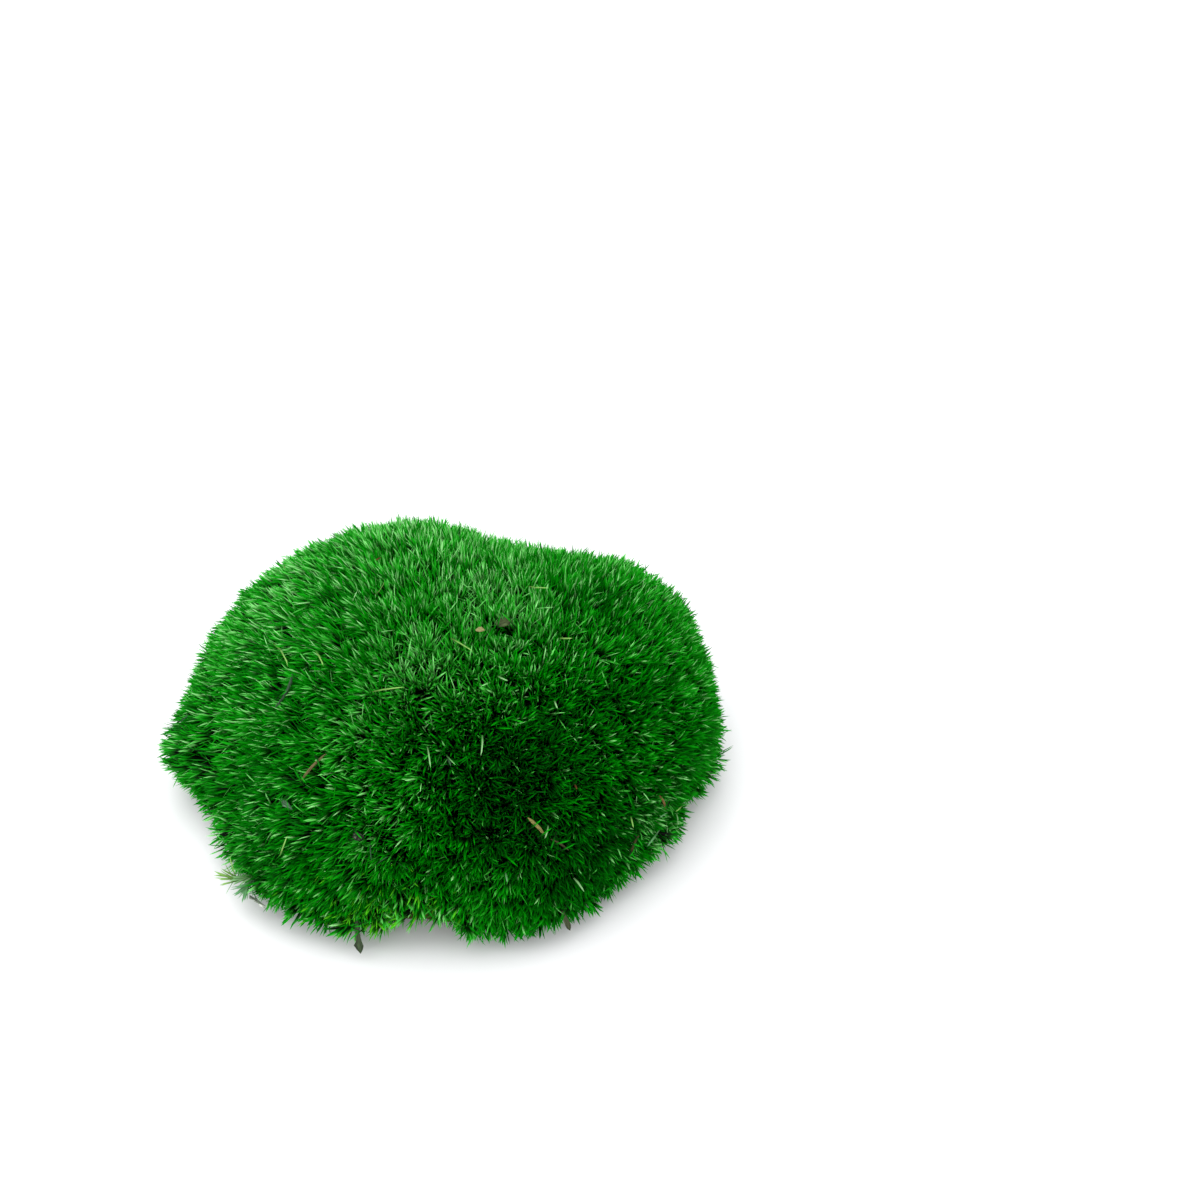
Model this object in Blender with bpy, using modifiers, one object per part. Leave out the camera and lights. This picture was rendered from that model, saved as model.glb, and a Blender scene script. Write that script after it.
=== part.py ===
"""A clump of cushion moss, cut flat where it grew and resting on the cut.

The clump is one dome of leaf tufts that all grow outwards from a short line low in its middle.
It sits on a mat of brown humus.  Needles, twigs, leaf scraps, flakes and a crumb of the forest
floor lie in small pockets between the tufts or hang in the fringe.

Metres, +Z up.  The origin is on the ground under the middle of the whole clump.  A bearing is an
angle in degrees seen from above, from +X towards +Y.  An elevation is an angle above the level of
the rim.  Both are taken at the growth centre.
"""

import math
from collections import namedtuple

import bmesh
import bpy
import numpy as np
from mathutils import Matrix, Vector

# ---- Driving dimensions: the dome of leaf tips -------------------------------------------------

GROWTH_CENTRE = (0.00895, -0.00093)  # X and Y of the place where the shoots start
RIM_HEIGHT = 0.0132  # the widest level of the dome above the ground
CROWN_RISE = 0.0380  # the crown above the rim
FULLNESS = 2.15  # of the dome's section above the rim: 2 is an ellipse, more is squarer
UNDER_FULLNESS = 5  # of the section under the rim, where the fringe hangs nearly upright
RIM_RADII = (  # from the growth centre to the rim, at even bearings from +X
    0.0542, 0.0555, 0.0598, 0.0547, 0.0547, 0.0614, 0.0707, 0.0730,
    0.0685, 0.0611, 0.0624, 0.0560, 0.0533, 0.0517, 0.0480, 0.0513,
)

Lobe = namedtuple("Lobe", "bearing elevation spread rise")
LOBES = (  # swellings and hollows of the dome: degrees, degrees, degrees, metres
    Lobe(112, 42, 15, 0.0044),  # the high back shoulder
    Lobe(62, 38, 17, -0.0013),
    Lobe(88, 42, 9, -0.0021),  # the valley beside the shoulder
    Lobe(165, 22, 16, -0.0051),  # the straight slope down to the tip
    Lobe(200, 6, 9, -0.0039),  # the hollow under the tip
    Lobe(315, 15, 14, 0.0008),
    Lobe(20, 25, 16, 0.0010),
    Lobe(184, 1, 5, 0.0070),  # the tip itself
    Lobe(203, -6, 8, 0.0024),  # the foot of that hollow, which stands further out
    Lobe(346, -4, 8, -0.0055),  # the straight foot at the right
    Lobe(217, -2, 4, 0.0016),  # a loose shoot in the fringe
    Lobe(257, -10, 6, -0.0040),  # the thin place of the fringe
)

# ---- Driving dimensions: the tufts -------------------------------------------------------------

CROWN_STEPS = 32  # tufts and gaps across the crown, which is laid out as a square grid
CROWN_ANGLE = 57  # from the top of the dome to the edge of that grid, degrees
SKIRT_STEPS = 13  # rows of tufts and gaps from the grid's edge to the underside
SKIRT_ANGLE = 107  # from the top of the dome to the last row, degrees
TUFT_DEPTH = 0.0021  # from a tuft's tip to the gap beside it
TUFT_UNEVEN = 0.0006  # how far tips stand short of the dome, at most
TUFT_WANDER = 0.30  # how far a tuft stands off the grid, as a share of its step
TUFT_SEED = 7
CALM_ELEVATION = (-13, -8)  # tufts fade out under the rim between these, degrees
FRINGE_GAP = 0.0008  # from the ground to the lowest tufts, at least
CUT_LEVEL = 0.0020  # the underside's hidden middle, above the ground
CUT_SHARE = 0.45  # of the rim's radius, where that middle begins

# ---- Driving dimensions: the humus -------------------------------------------------------------

CLEARANCE = 0.0003  # between touching pieces
HUMUS_SHARE = 0.80  # the mat's outline, as a share of the rim's radius
HUMUS_THICKNESS = 0.0080
HUMUS_SIDES = 80
HUMUS_ROWS = 4  # rows of points up the mat's side
HUMUS_ROUGHNESS = 0.0007  # how ragged the side is
HUMUS_SEED = 11

# ---- Driving dimensions: the litter ------------------------------------------------------------
# Sizes in metres, angles in degrees.  A turn is counted from uphill towards a growing bearing.
# The lift is from the tips of the tufts to the middle of the piece.

POCKET_MARGIN = 0.00066  # from a piece of litter to the wall of its pocket, about

Rod = namedtuple("Rod", "name bearing elevation turn length width bend lift colour")
RODS = (
    Rod("brown_needle", 226.1, 27.3, 10, 0.0078, 0.0011, 0.00035, -0.0005, "needle_brown"),
    Rod("tan_needle", 285.9, 21.1, 145, 0.0050, 0.0011, 0.00015, -0.0005, "needle_tan"),
    Rod("thin_brown_needle", 291.2, 15.1, 136, 0.0045, 0.0007, 0.0002, -0.0006, "needle_brown"),
    Rod("orange_needle", 325.2, 8.8, 166, 0.0046, 0.0008, 0.0003, -0.0006, "needle_orange"),
    Rod("brown_twig", 313.8, 2.1, 32, 0.0045, 0.0009, 0.0003, -0.0006, "twig_brown"),
    Rod("grey_twig", 198.5, 32.3, 139, 0.0082, 0.0009, 0.0009, -0.0006, "twig_grey"),
)

ROD_POINTS = 7  # along a needle or a twig
ROD_END = 0.35  # of its width, at its ends

Flake = namedtuple("Flake", "name bearing elevation turn length width curl lift colour")
FLAKES = (
    Flake("seed_scale", 274.9, 81.3, 94, 0.0020, 0.0017, 0.0003, -0.0007, "scale_tan"),
    Flake("leaf_scrap", 329.9, 80.2, 130, 0.0042, 0.0027, 0.0004, -0.0008, "leaf_brown"),
    Flake("grey_flake", 225.1, 18.4, 95, 0.0038, 0.0016, 0.0003, -0.0006, "flake_grey"),
    Flake("bark_flake", 221.9, -6.9, 80, 0.0058, 0.0034, 0.0005, -0.0002, "flake_grey"),
)
FLAKE_THICKNESS = 0.0004
SHEET_END = 0.22  # of a flake's or a leaf's width, at its ends

Crumb = namedtuple("Crumb", "name bearing elevation size lift colour")
CRUMBS = (Crumb("dark_crumb", 242.9, 17.4, 0.0021, -0.0007, "crumb_dark"),)

# A hanging leaf's tip leans outwards from straight down, and is turned towards a growing bearing.
Hanging = namedtuple("Hanging", "name bearing reach height lean turn length width colour")
HANGINGS = (  # leaves that hang by their stalk from the fringe
    Hanging("front_hanging_leaf", 244.7, 0.0579, 0.0057, 25, 18, 0.0074, 0.0024, "leaf_green_grey"),
    Hanging("right_hanging_leaf", 291.1, 0.0523, 0.0067, 8, 14, 0.0058, 0.0015, "leaf_green_grey"),
)
HANGING_THICKNESS = 0.0005
CRUMB_UNEVEN = 0.22  # how far a crumb's facets dip, as a share of its radius

# ---- Materials: colour as seen (0 to 255), and roughness ---------------------------------------

COLOURS = {
    "moss_green": ((18, 98, 16), 0.80),
    "humus_brown": ((62, 44, 28), 0.95),
    "needle_brown": ((142, 92, 48), 0.55),
    "needle_tan": ((176, 140, 88), 0.55),
    "needle_orange": ((172, 96, 44), 0.55),
    "twig_brown": ((92, 62, 36), 0.85),
    "twig_grey": ((44, 52, 46), 0.80),
    "scale_tan": ((196, 168, 124), 0.60),
    "leaf_brown": ((96, 84, 58), 0.80),
    "flake_grey": ((128, 132, 122), 0.75),
    "crumb_dark": ((30, 30, 26), 0.90),
    "leaf_green_grey": ((58, 78, 58), 0.65),
}

CLUMP_NAME = "moss_clump"
CUTTER_NAME = "pocket_cutters"


def clear_scene():
    """Removes what the file opened with."""
    for thing in list(bpy.data.objects):
        bpy.data.objects.remove(thing, do_unlink=True)


def new_collection(name):
    """A collection of this name in the scene."""
    collection = bpy.data.collections.new(name)
    bpy.context.scene.collection.children.link(collection)
    return collection


def linear(colour):
    """A colour given as seen, 0 to 255, as the linear values that a shader takes."""
    shares = [value / 255 for value in colour]
    return [s / 12.92 if s <= 0.04045 else ((s + 0.055) / 1.055) ** 2.4 for s in shares]


def material(name):
    """The plain surface of one kind of thing."""
    found = bpy.data.materials.get(name)
    if found:
        return found
    colour, roughness = COLOURS[name]
    made = bpy.data.materials.new(name)
    made.use_nodes = True
    shader = made.node_tree.nodes["Principled BSDF"]
    shader.inputs["Base Color"].default_value = (*linear(colour), 1)
    shader.inputs["Roughness"].default_value = roughness
    shader.inputs["Metallic"].default_value = 0
    return made


def finished(name, mesh, collection, colour=None, place=None):
    """An object of this mesh in the collection, put where its matrix says."""
    made = bpy.data.objects.new(name, mesh)
    collection.objects.link(made)
    if colour:
        mesh.materials.append(material(colour))
    if place:
        made.matrix_world = place
    return made


def as_cutter(thing):
    """Marks a thing as one that only cuts, so that it is never seen itself."""
    thing.hide_render = True
    thing.display_type = "WIRE"
    return thing


def mesh_from(builder, name):
    """A mesh with the faces of a bmesh builder, their normals pointing out."""
    bmesh.ops.recalc_face_normals(builder, faces=builder.faces)
    mesh = bpy.data.meshes.new(name)
    builder.to_mesh(mesh)
    builder.free()
    return mesh


def positions(builder):
    """The places of a bmesh builder's points, one row each."""
    return np.array([tuple(point.co) for point in builder.verts])


def put_positions(builder, places):
    """Moves the points of a bmesh builder to these places."""
    for point, place in zip(builder.verts, places):
        point.co = place


# ---- The dome of leaf tips ---------------------------------------------------------------------


def rim_radius(bearing):
    """The rim's radius at a bearing in radians: the smooth closed curve through RIM_RADII.

    It is the sum of the waves, one to half as many as there are radii, that meets each of them.
    """
    count = len(RIM_RADII)
    waves = np.fft.rfft(RIM_RADII) / count
    radius = np.full_like(bearing, waves[0].real)
    for order in range(1, len(waves)):
        share = 1 if 2 * order == count else 2
        turn = order * bearing
        radius += share * (waves[order].real * np.cos(turn) - waves[order].imag * np.sin(turn))
    return radius


def unit(bearing, elevation):
    """The unit direction of a bearing and an elevation in radians."""
    level = np.cos(elevation)
    return np.stack([level * np.cos(bearing), level * np.sin(bearing), np.sin(elevation)], -1)


def tip_distance(bearing, elevation):
    """From the growth centre to the leaf tips, along a bearing and an elevation in radians.

    The dome is a superellipse in section, as wide as the rim and as high as the crown, or as deep
    as the ground below the rim, where it is squarer.  Each lobe adds its rise, fading as a bell
    over its spread.
    """
    height = np.where(elevation > 0, CROWN_RISE, RIM_HEIGHT)
    fullness = np.where(elevation > 0, FULLNESS, UNDER_FULLNESS)
    across = np.abs(np.cos(elevation) / rim_radius(bearing)) ** fullness
    upright = np.abs(np.sin(elevation) / height) ** fullness
    distance = (across + upright) ** (-1 / fullness)
    direction = unit(bearing, elevation)
    for lobe in LOBES:
        middle = unit(math.radians(lobe.bearing), math.radians(lobe.elevation))
        away = np.arccos(np.clip(direction @ middle, -1, 1)) / math.radians(lobe.spread)
        distance = distance + lobe.rise * np.exp(-(away**2) / 2)
    return distance


def growth_point(height=RIM_HEIGHT):
    """The growth centre, at a height above the ground."""
    return np.array([*GROWTH_CENTRE, height])


def tip_place(bearing, elevation):
    """The place of the leaf tips along a bearing and an elevation in degrees."""
    bearing = np.radians(np.asarray(bearing, float))
    elevation = np.radians(np.asarray(elevation, float))
    distance = tip_distance(bearing, elevation)[..., None]
    return growth_point() + unit(bearing, elevation) * distance


def square_to_bearing(u, v):
    """The bearing of a point on a square ring, so that even steps along the ring turn evenly."""
    wide = np.abs(u) >= np.abs(v)
    middle = (u == 0) & (v == 0)
    slope_wide = v / np.where(wide & ~middle, u, 1)
    slope_tall = u / np.where(wide, 1, v)
    turn_wide = np.pi / 4 * slope_wide + np.where(u < 0, np.pi, 0)
    turn_tall = np.pi / 2 - np.pi / 4 * slope_tall + np.where(v < 0, np.pi, 0)
    return np.where(wide, turn_wide, turn_tall)


def tuft_grid():
    """A square sheet for the crown with rows of skirt around it, closed by one face below.

    A point's X and Y are its place on the flat sheet, where the crown's edge is at 1 from the
    middle and the last row of the skirt is at 2.
    """
    builder = bmesh.new()
    bmesh.ops.create_grid(builder, x_segments=CROWN_STEPS, y_segments=CROWN_STEPS, size=1)
    edge = [item for item in builder.edges if item.is_boundary]
    for row in range(SKIRT_STEPS):
        made = bmesh.ops.extrude_edge_only(builder, edges=edge)["geom"]
        points = [item for item in made if isinstance(item, bmesh.types.BMVert)]
        edge = [item for item in made if isinstance(item, bmesh.types.BMEdge) and item.is_boundary]
        for point in points:
            point.co *= (SKIRT_STEPS + row + 1) / (SKIRT_STEPS + row)
    bmesh.ops.contextual_create(builder, geom=edge)
    builder.verts.index_update()
    return builder


def fold_between_gaps(builder, is_tip):
    """Splits each square from gap to gap, so that every tuft stands as a spike of its own."""
    for face in list(builder.faces):
        gaps = [point for point in face.verts if not is_tip[point.index]]
        if len(face.verts) == 4 and len(gaps) == 2:
            bmesh.utils.face_split(face, *gaps)


def tuft_places(sheet):
    """Where the points of the flat sheet stand on the dome, and which of them are tips.

    Every second point, counted along both ways of the sheet, is a tuft's tip and the others are
    gaps.  The last row is the flat middle of the underside.
    """
    random = np.random.default_rng(TUFT_SEED)
    ring = np.abs(sheet).max(axis=1)
    in_crown = ring <= 1
    row = np.round(np.clip(ring - 1, 0, 1) * SKIRT_STEPS)
    on_crown = sheet / np.maximum(ring, 1)[:, None]
    counted = np.round((on_crown + 1) * CROWN_STEPS / 2).sum(axis=1) + row
    is_tip = counted % 2 == 0

    crown_step = 2 * CROWN_ANGLE / CROWN_STEPS
    skirt_step = (SKIRT_ANGLE - CROWN_ANGLE) / SKIRT_STEPS
    from_top = np.where(in_crown, ring * CROWN_ANGLE, CROWN_ANGLE + row * skirt_step)
    around_step = 90 / CROWN_STEPS / np.clip(ring, crown_step / CROWN_ANGLE, 1)
    bearing = np.degrees(square_to_bearing(sheet[:, 0], sheet[:, 1]))

    calm = np.clip((90 - from_top - CALM_ELEVATION[0]) / np.ptp(CALM_ELEVATION), 0, 1)
    wander = random.uniform(-TUFT_WANDER, TUFT_WANDER, (2, len(sheet))) * calm
    bearing = np.radians(bearing + wander[0] * around_step)
    elevation = np.radians(90 - from_top - wander[1] * np.where(in_crown, crown_step, skirt_step))
    short = random.uniform(0, TUFT_UNEVEN, len(sheet)) + np.where(is_tip, 0, TUFT_DEPTH)
    distance = tip_distance(bearing, elevation) - short * calm
    places = growth_point() + unit(bearing, elevation) * distance[:, None]
    places[:, 2] = np.maximum(places[:, 2], FRINGE_GAP)

    last = row == SKIRT_STEPS
    flat = unit(bearing[last], np.zeros(last.sum())) * rim_radius(bearing[last])[:, None]
    places[last] = growth_point(CUT_LEVEL) + CUT_SHARE * flat
    return places, is_tip


def moss_cushion(collection):
    """The moss: the dome of leaf tips, all over tufts."""
    builder = tuft_grid()
    places, is_tip = tuft_places(positions(builder)[:, :2])
    put_positions(builder, places)
    fold_between_gaps(builder, is_tip)
    return finished("moss_cushion", mesh_from(builder, "moss_cushion"), collection, "moss_green")


# ---- The humus ---------------------------------------------------------------------------------


def humus_solid(name, roughness, swell, below):
    """The mesh of the mat, its side and top moved out by swell and its foot carried down by below.

    It starts as a drum of rows of points.  Each row follows the rim at HUMUS_SHARE of its radius,
    with a side that is ragged by the roughness between the flat foot and the flat top.
    """
    builder = bmesh.new()
    bmesh.ops.create_cone(
        builder, cap_ends=True, cap_tris=False, segments=HUMUS_SIDES,
        radius1=1, radius2=1, depth=1,
    )
    upright = [e for e in builder.edges if abs(e.verts[0].co.z - e.verts[1].co.z) > 0.5]
    bmesh.ops.subdivide_edges(builder, edges=upright, cuts=HUMUS_ROWS - 2)
    drum = positions(builder)
    bearing = np.arctan2(drum[:, 1], drum[:, 0])
    share_up = drum[:, 2] + 0.5

    random = np.random.default_rng(HUMUS_SEED)
    ragged = random.uniform(-roughness, roughness, len(drum))
    radius = HUMUS_SHARE * rim_radius(bearing) + ragged + swell
    places = growth_point(0) + unit(bearing, np.zeros(len(drum))) * radius[:, None]
    places[:, 2] = share_up * (HUMUS_THICKNESS + swell + below) - below
    put_positions(builder, places)
    return mesh_from(builder, name)


def humus_mat(collection):
    """The brown mat of old stems and soil under the moss, flat where it was cut."""
    mesh = humus_solid("humus_mat", HUMUS_ROUGHNESS, 0, 0)
    return finished("humus_mat", mesh, collection, "humus_brown")


def humus_bed(collection):
    """The cutter of the hollow in the moss that the mat fills."""
    mesh = humus_solid("humus_bed", 0, HUMUS_ROUGHNESS + CLEARANCE, 10 * CLEARANCE)
    return as_cutter(finished("humus_bed", mesh, collection))


# ---- The litter --------------------------------------------------------------------------------


def surface_frame(piece):
    """Where a piece of litter lies: X along it, Z out of the moss, at its lift from the tips."""
    step = 0.5
    uphill = tip_place(piece.bearing, piece.elevation + step)
    uphill = Vector(uphill - tip_place(piece.bearing, piece.elevation - step)).normalized()
    around = tip_place(piece.bearing + step, piece.elevation)
    around = Vector(around - tip_place(piece.bearing - step, piece.elevation))
    outward = around.cross(uphill).normalized()
    sideways = uphill.cross(outward)
    turn = math.radians(getattr(piece, "turn", 0))
    along = uphill * math.cos(turn) + sideways * math.sin(turn)
    middle = Vector(tip_place(piece.bearing, piece.elevation)) + outward * piece.lift
    return axes_at(middle, along, outward)


def hanging_frame(piece):
    """Where a hanging leaf is: X down along it, Z out of its face."""
    upright = Vector((0, 0, 1))
    level = Vector(unit(math.radians(piece.bearing), 0.0))
    lean, turn = math.radians(piece.lean), math.radians(piece.turn)
    down = level * math.sin(lean) - upright * math.cos(lean)
    along = down * math.cos(turn) + upright.cross(level) * math.sin(turn)
    middle = Vector(growth_point(piece.height)) + level * piece.reach
    return axes_at(middle, along, level * math.cos(lean) + upright * math.sin(lean))


def axes_at(middle, along, outward):
    """The matrix of a frame with this middle, X axis and Z axis."""
    across = outward.cross(along).normalized()
    frame = Matrix((along, across, outward)).transposed().to_4x4()
    frame.translation = middle
    return frame


def rod(piece, collection):
    """A needle or a twig: a bent tube that narrows to both ends."""
    curve = bpy.data.curves.new(piece.name, "CURVE")
    curve.dimensions = "3D"
    curve.bevel_depth = piece.width / 2
    curve.bevel_resolution = 1
    curve.use_fill_caps = True
    spline = curve.splines.new("POLY")
    spline.points.add(ROD_POINTS - 1)
    for index, point in enumerate(spline.points):
        along = index / (ROD_POINTS - 1)
        bow = 4 * along * (1 - along)
        point.co = ((along - 0.5) * piece.length, (bow - 0.5) * piece.bend, 0, 1)
        point.radius = ROD_END + (1 - ROD_END) * bow**0.6
    guide = bpy.data.objects.new(piece.name + "_guide", curve)
    collection.objects.link(guide)
    graph = bpy.context.evaluated_depsgraph_get()
    mesh = bpy.data.meshes.new_from_object(guide.evaluated_get(graph))
    bpy.data.objects.remove(guide, do_unlink=True)
    builder = bmesh.new()
    builder.from_mesh(mesh)
    bmesh.ops.remove_doubles(builder, verts=builder.verts, dist=1e-6)
    mesh = mesh_from(builder, piece.name)
    return finished(piece.name, mesh, collection, piece.colour, surface_frame(piece))


def sheet_mesh(name, length, width, curl, taper):
    """An open sheet, narrowed to both ends by the power taper and curled across its width."""
    builder = bmesh.new()
    bmesh.ops.create_grid(builder, x_segments=6, y_segments=3, size=1)
    sheet = positions(builder)
    along, across = sheet[:, 0], sheet[:, 1]
    fullness = SHEET_END + (1 - SHEET_END) * np.maximum(1 - along**2, 0) ** taper
    half_width = width / 2 * fullness
    places = np.stack([along * length / 2, across * half_width, curl * across**2], -1)
    put_positions(builder, places)
    return mesh_from(builder, name)


def add_thickness(thing, thickness):
    """Gives an open sheet its thickness, half to each side."""
    solid = thing.modifiers.new("thickness", "SOLIDIFY")
    solid.thickness = thickness
    solid.offset = 0


def flake(piece, collection):
    """A scrap of leaf, bark or seed: a curled sheet with its thickness."""
    mesh = sheet_mesh(piece.name, piece.length, piece.width, piece.curl, 0.5)
    made = finished(piece.name, mesh, collection, piece.colour, surface_frame(piece))
    add_thickness(made, FLAKE_THICKNESS)
    return made


def hanging_leaf(piece, collection):
    """A small leaf that hangs point down."""
    mesh = sheet_mesh(piece.name, piece.length, piece.width, piece.width / 6, 0.9)
    made = finished(piece.name, mesh, collection, piece.colour, hanging_frame(piece))
    add_thickness(made, HANGING_THICKNESS)
    return made


def crumb(piece, collection):
    """A crumb of soil: a ball with uneven facets."""
    builder = bmesh.new()
    bmesh.ops.create_icosphere(builder, subdivisions=2, radius=piece.size / 2)
    random = np.random.default_rng(HUMUS_SEED)
    places = positions(builder)
    put_positions(builder, places * random.uniform(1 - CRUMB_UNEVEN, 1, (len(places), 1)))
    mesh = mesh_from(builder, piece.name)
    return finished(piece.name, mesh, collection, piece.colour, surface_frame(piece))


def pocket_cutter(name, frame, length, width, depth, collection):
    """An egg-shaped cutter around a piece of litter, open to the outside of the moss."""
    builder = bmesh.new()
    bmesh.ops.create_uvsphere(builder, u_segments=12, v_segments=8, radius=1)
    made = finished(name + "_pocket", mesh_from(builder, name + "_pocket"), collection)
    made.matrix_world = frame @ Matrix.Diagonal((length / 2, width / 2, depth, 1))
    return as_cutter(made)


def litter(clump, cutters):
    """All the litter, and the cutters of the pockets that it lies in."""
    margin = POCKET_MARGIN
    pockets = []
    for piece in RODS:
        rod(piece, clump)
        width = piece.width + abs(piece.bend) + 3 * margin
        depth = piece.width / 2 + margin
        pockets.append((piece, surface_frame(piece), piece.length * 1.2, width, depth))
    for piece in FLAKES:
        flake(piece, clump)
        depth = piece.curl + FLAKE_THICKNESS / 2 + margin
        pockets.append((piece, surface_frame(piece), piece.length * 1.3, piece.width * 1.5, depth))
    for piece in CRUMBS:
        crumb(piece, clump)
        size = piece.size + 2 * margin
        pockets.append((piece, surface_frame(piece), size, size, size / 2))
    for piece in HANGINGS:
        hanging_leaf(piece, clump)
        width = piece.width + 3 * margin
        depth = HANGING_THICKNESS + 2 * margin
        pockets.append((piece, hanging_frame(piece), piece.length * 1.3, width, depth))
    return [pocket_cutter(p.name, frame, *sizes, cutters) for p, frame, *sizes in pockets]


def cut(thing, cutter):
    """Takes the cutter's space out of a thing."""
    boolean = thing.modifiers.new(cutter.name, "BOOLEAN")
    boolean.operation = "DIFFERENCE"
    boolean.solver = "EXACT"
    boolean.object = cutter


def build():
    """The whole clump."""
    clear_scene()
    clump = new_collection(CLUMP_NAME)
    cutters = new_collection(CUTTER_NAME)

    humus_mat(clump)
    cushion = moss_cushion(clump)

    cut(cushion, humus_bed(cutters))
    for pocket in litter(clump, cutters):
        cut(cushion, pocket)


build()
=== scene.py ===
"""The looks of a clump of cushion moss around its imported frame.

The leaves stand in tufts on thousands of shoots that all grow out from a short line low in the
clump.  Old stems fill the inside, brown humus lies under it, and litter is caught in the leaves.

Metres, +Z up.  A bearing is seen from above, from +X towards +Y, and an elevation is above the
level of the rim.  Both are taken at the growth centre, as in the frame.
"""

import math
from collections import namedtuple

import bpy
import numpy as np
from mathutils import Matrix


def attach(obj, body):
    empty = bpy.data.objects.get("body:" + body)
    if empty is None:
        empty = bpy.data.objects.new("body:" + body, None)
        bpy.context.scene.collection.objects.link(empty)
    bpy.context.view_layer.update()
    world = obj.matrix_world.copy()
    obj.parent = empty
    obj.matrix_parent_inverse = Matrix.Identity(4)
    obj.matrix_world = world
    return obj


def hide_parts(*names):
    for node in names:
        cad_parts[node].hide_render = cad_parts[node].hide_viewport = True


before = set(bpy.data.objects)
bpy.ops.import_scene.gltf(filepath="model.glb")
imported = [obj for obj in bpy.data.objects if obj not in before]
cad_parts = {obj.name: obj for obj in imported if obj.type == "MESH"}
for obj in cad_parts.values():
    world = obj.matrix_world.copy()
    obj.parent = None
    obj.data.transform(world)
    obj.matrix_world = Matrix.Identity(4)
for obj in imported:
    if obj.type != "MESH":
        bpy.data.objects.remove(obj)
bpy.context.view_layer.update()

bl_info = {
    "name": "Moss Clump",
    "version": (1, 0, 0),
    "blender": (4, 5, 0),
    "location": "3D View > Sidebar > Moss",
    "description": "Grows the leaves, stems, humus and litter of a clump of cushion moss",
    "category": "Add Mesh",
}

# ---- The dome of leaf tips, as in the frame ----------------------------------------------------

GROWTH_CENTRE = (0.00895, -0.00093)  # X and Y of the place where the shoots start
RIM_HEIGHT = 0.0132  # the widest level of the dome above the ground
CROWN_RISE = 0.0380  # the crown above the rim
FULLNESS = 2.15  # of the dome's section above the rim: 2 is an ellipse, more is squarer
UNDER_FULLNESS = 5  # of the section under the rim, where the fringe hangs nearly upright
RIM_RADII = (  # from the growth centre to the rim, at even bearings from +X
    0.0542, 0.0555, 0.0598, 0.0547, 0.0547, 0.0614, 0.0707, 0.0730,
    0.0685, 0.0611, 0.0624, 0.0560, 0.0533, 0.0517, 0.0480, 0.0513,
)

Lobe = namedtuple("Lobe", "bearing elevation spread rise")
LOBES = (  # swellings and hollows of the dome: degrees, degrees, degrees, metres
    Lobe(112, 42, 15, 0.0044),  # the high back shoulder
    Lobe(62, 38, 17, -0.0013),
    Lobe(88, 42, 9, -0.0021),  # the valley beside the shoulder
    Lobe(165, 22, 16, -0.0051),  # the straight slope down to the tip
    Lobe(200, 6, 9, -0.0039),  # the hollow under the tip
    Lobe(315, 15, 14, 0.0008),
    Lobe(20, 25, 16, 0.0010),
    Lobe(184, 1, 5, 0.0070),  # the tip itself
    Lobe(203, -6, 8, 0.0024),  # the foot of that hollow, which stands further out
    Lobe(346, -4, 8, -0.0055),  # the straight foot at the right
    Lobe(217, -2, 4, 0.0016),  # a loose shoot in the fringe
    Lobe(257, -10, 6, -0.0040),  # the thin place of the fringe
)

HUMUS_SHARE = 0.80  # the humus mat's outline, as a share of the rim's radius
HUMUS_THICKNESS = 0.0080

# ---- How the shoots stand ----------------------------------------------------------------------

GROWTH_ENDS = (-0.0100, 0.0080)  # of the line that shoots grow from, beside the centre
GROWTH_LEVELS = (0.0150, 0.0085)  # its height above the ground at these ends
FRINGE_ELEVATIONS = (-8, 14)  # up to the first of these, shoots grow level and droop, degrees
FRINGE_DROOP = 0.10  # how far the fringe's shoots point down, as a slope
LEFT_PULL = 0.5  # how far the shoots of the long left side are pulled level
LEFT_REACH = (0.005, 0.040)  # the pull grows between these distances left of the centre
LOWEST_ELEVATION = -15.5  # the last shoots of the fringe, degrees
FRINGE_SHARE = 0.83  # no shoot of the fringe ends further in than this share of the rim's radius
STRAY = 0.30  # how far a shoot stands off the even pattern, as a share of the spacing
UNEVEN_SPAN = (-0.25, 1)  # how far shoots stand short of the dome, as shares of the unevenness
PROUD_SHARE, PROUD = 0.04, 0.0006  # a few shoots stand this far out of the rest
PROUDEST = 0.0013  # no leaf stands further out of the dome than this
FRINGE_PROUDEST = 0.0042  # and no leaf of the hanging tufts
Sweep = namedtuple("Sweep", "bearing elevation spread slope")
SWEEPS = (  # where the shoots lean towards a growing bearing, or away from it
    Sweep(245, 28, 13, -0.45),
    Sweep(275, -4, 9, -0.50),
    Sweep(300, 42, 12, 0.35),
)
TUFT_RIPPLE = 0.0085  # the wavelength at which neighbours lean together
LEAN_SEEDS = (21, 22)  # of the ripples that they lean by
OWN_LEAN = 0.7  # how far a shoot leans by itself, as a share of the lean
TOP_MARGIN = 0.001  # no shoot stands nearer to straight above the centre than this, radians
LEAST_LEVEL = 0.1  # the least cosine of elevation that shoots stray round the top by
GOLDEN_TURN = math.radians(137.508)  # from a leaf to the next one round the shoot
EVEN_STEPS = (0.7548776662, 0.5698402910)  # steps of a pattern that fills a square evenly
AREA_CELLS = (120, 180)  # rows and columns in which the dome's area is measured
HEX_AREA = 0.87  # the area of a shoot's own ground, as a share of the spacing squared
SIDE_GUIDE = (0.31, 0.17, 0.93)  # a direction that no shoot's axis has
CROWN_EDGE = 48  # from the top of the dome to the edge of the crown's piece, degrees
GROUND_GAP = 0.0003  # leaves stay this far above the ground
MAT_GAP = 0.0014  # and this far where the humus mat is, whose foot is pitted
SHOOT_SEED = 5

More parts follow.
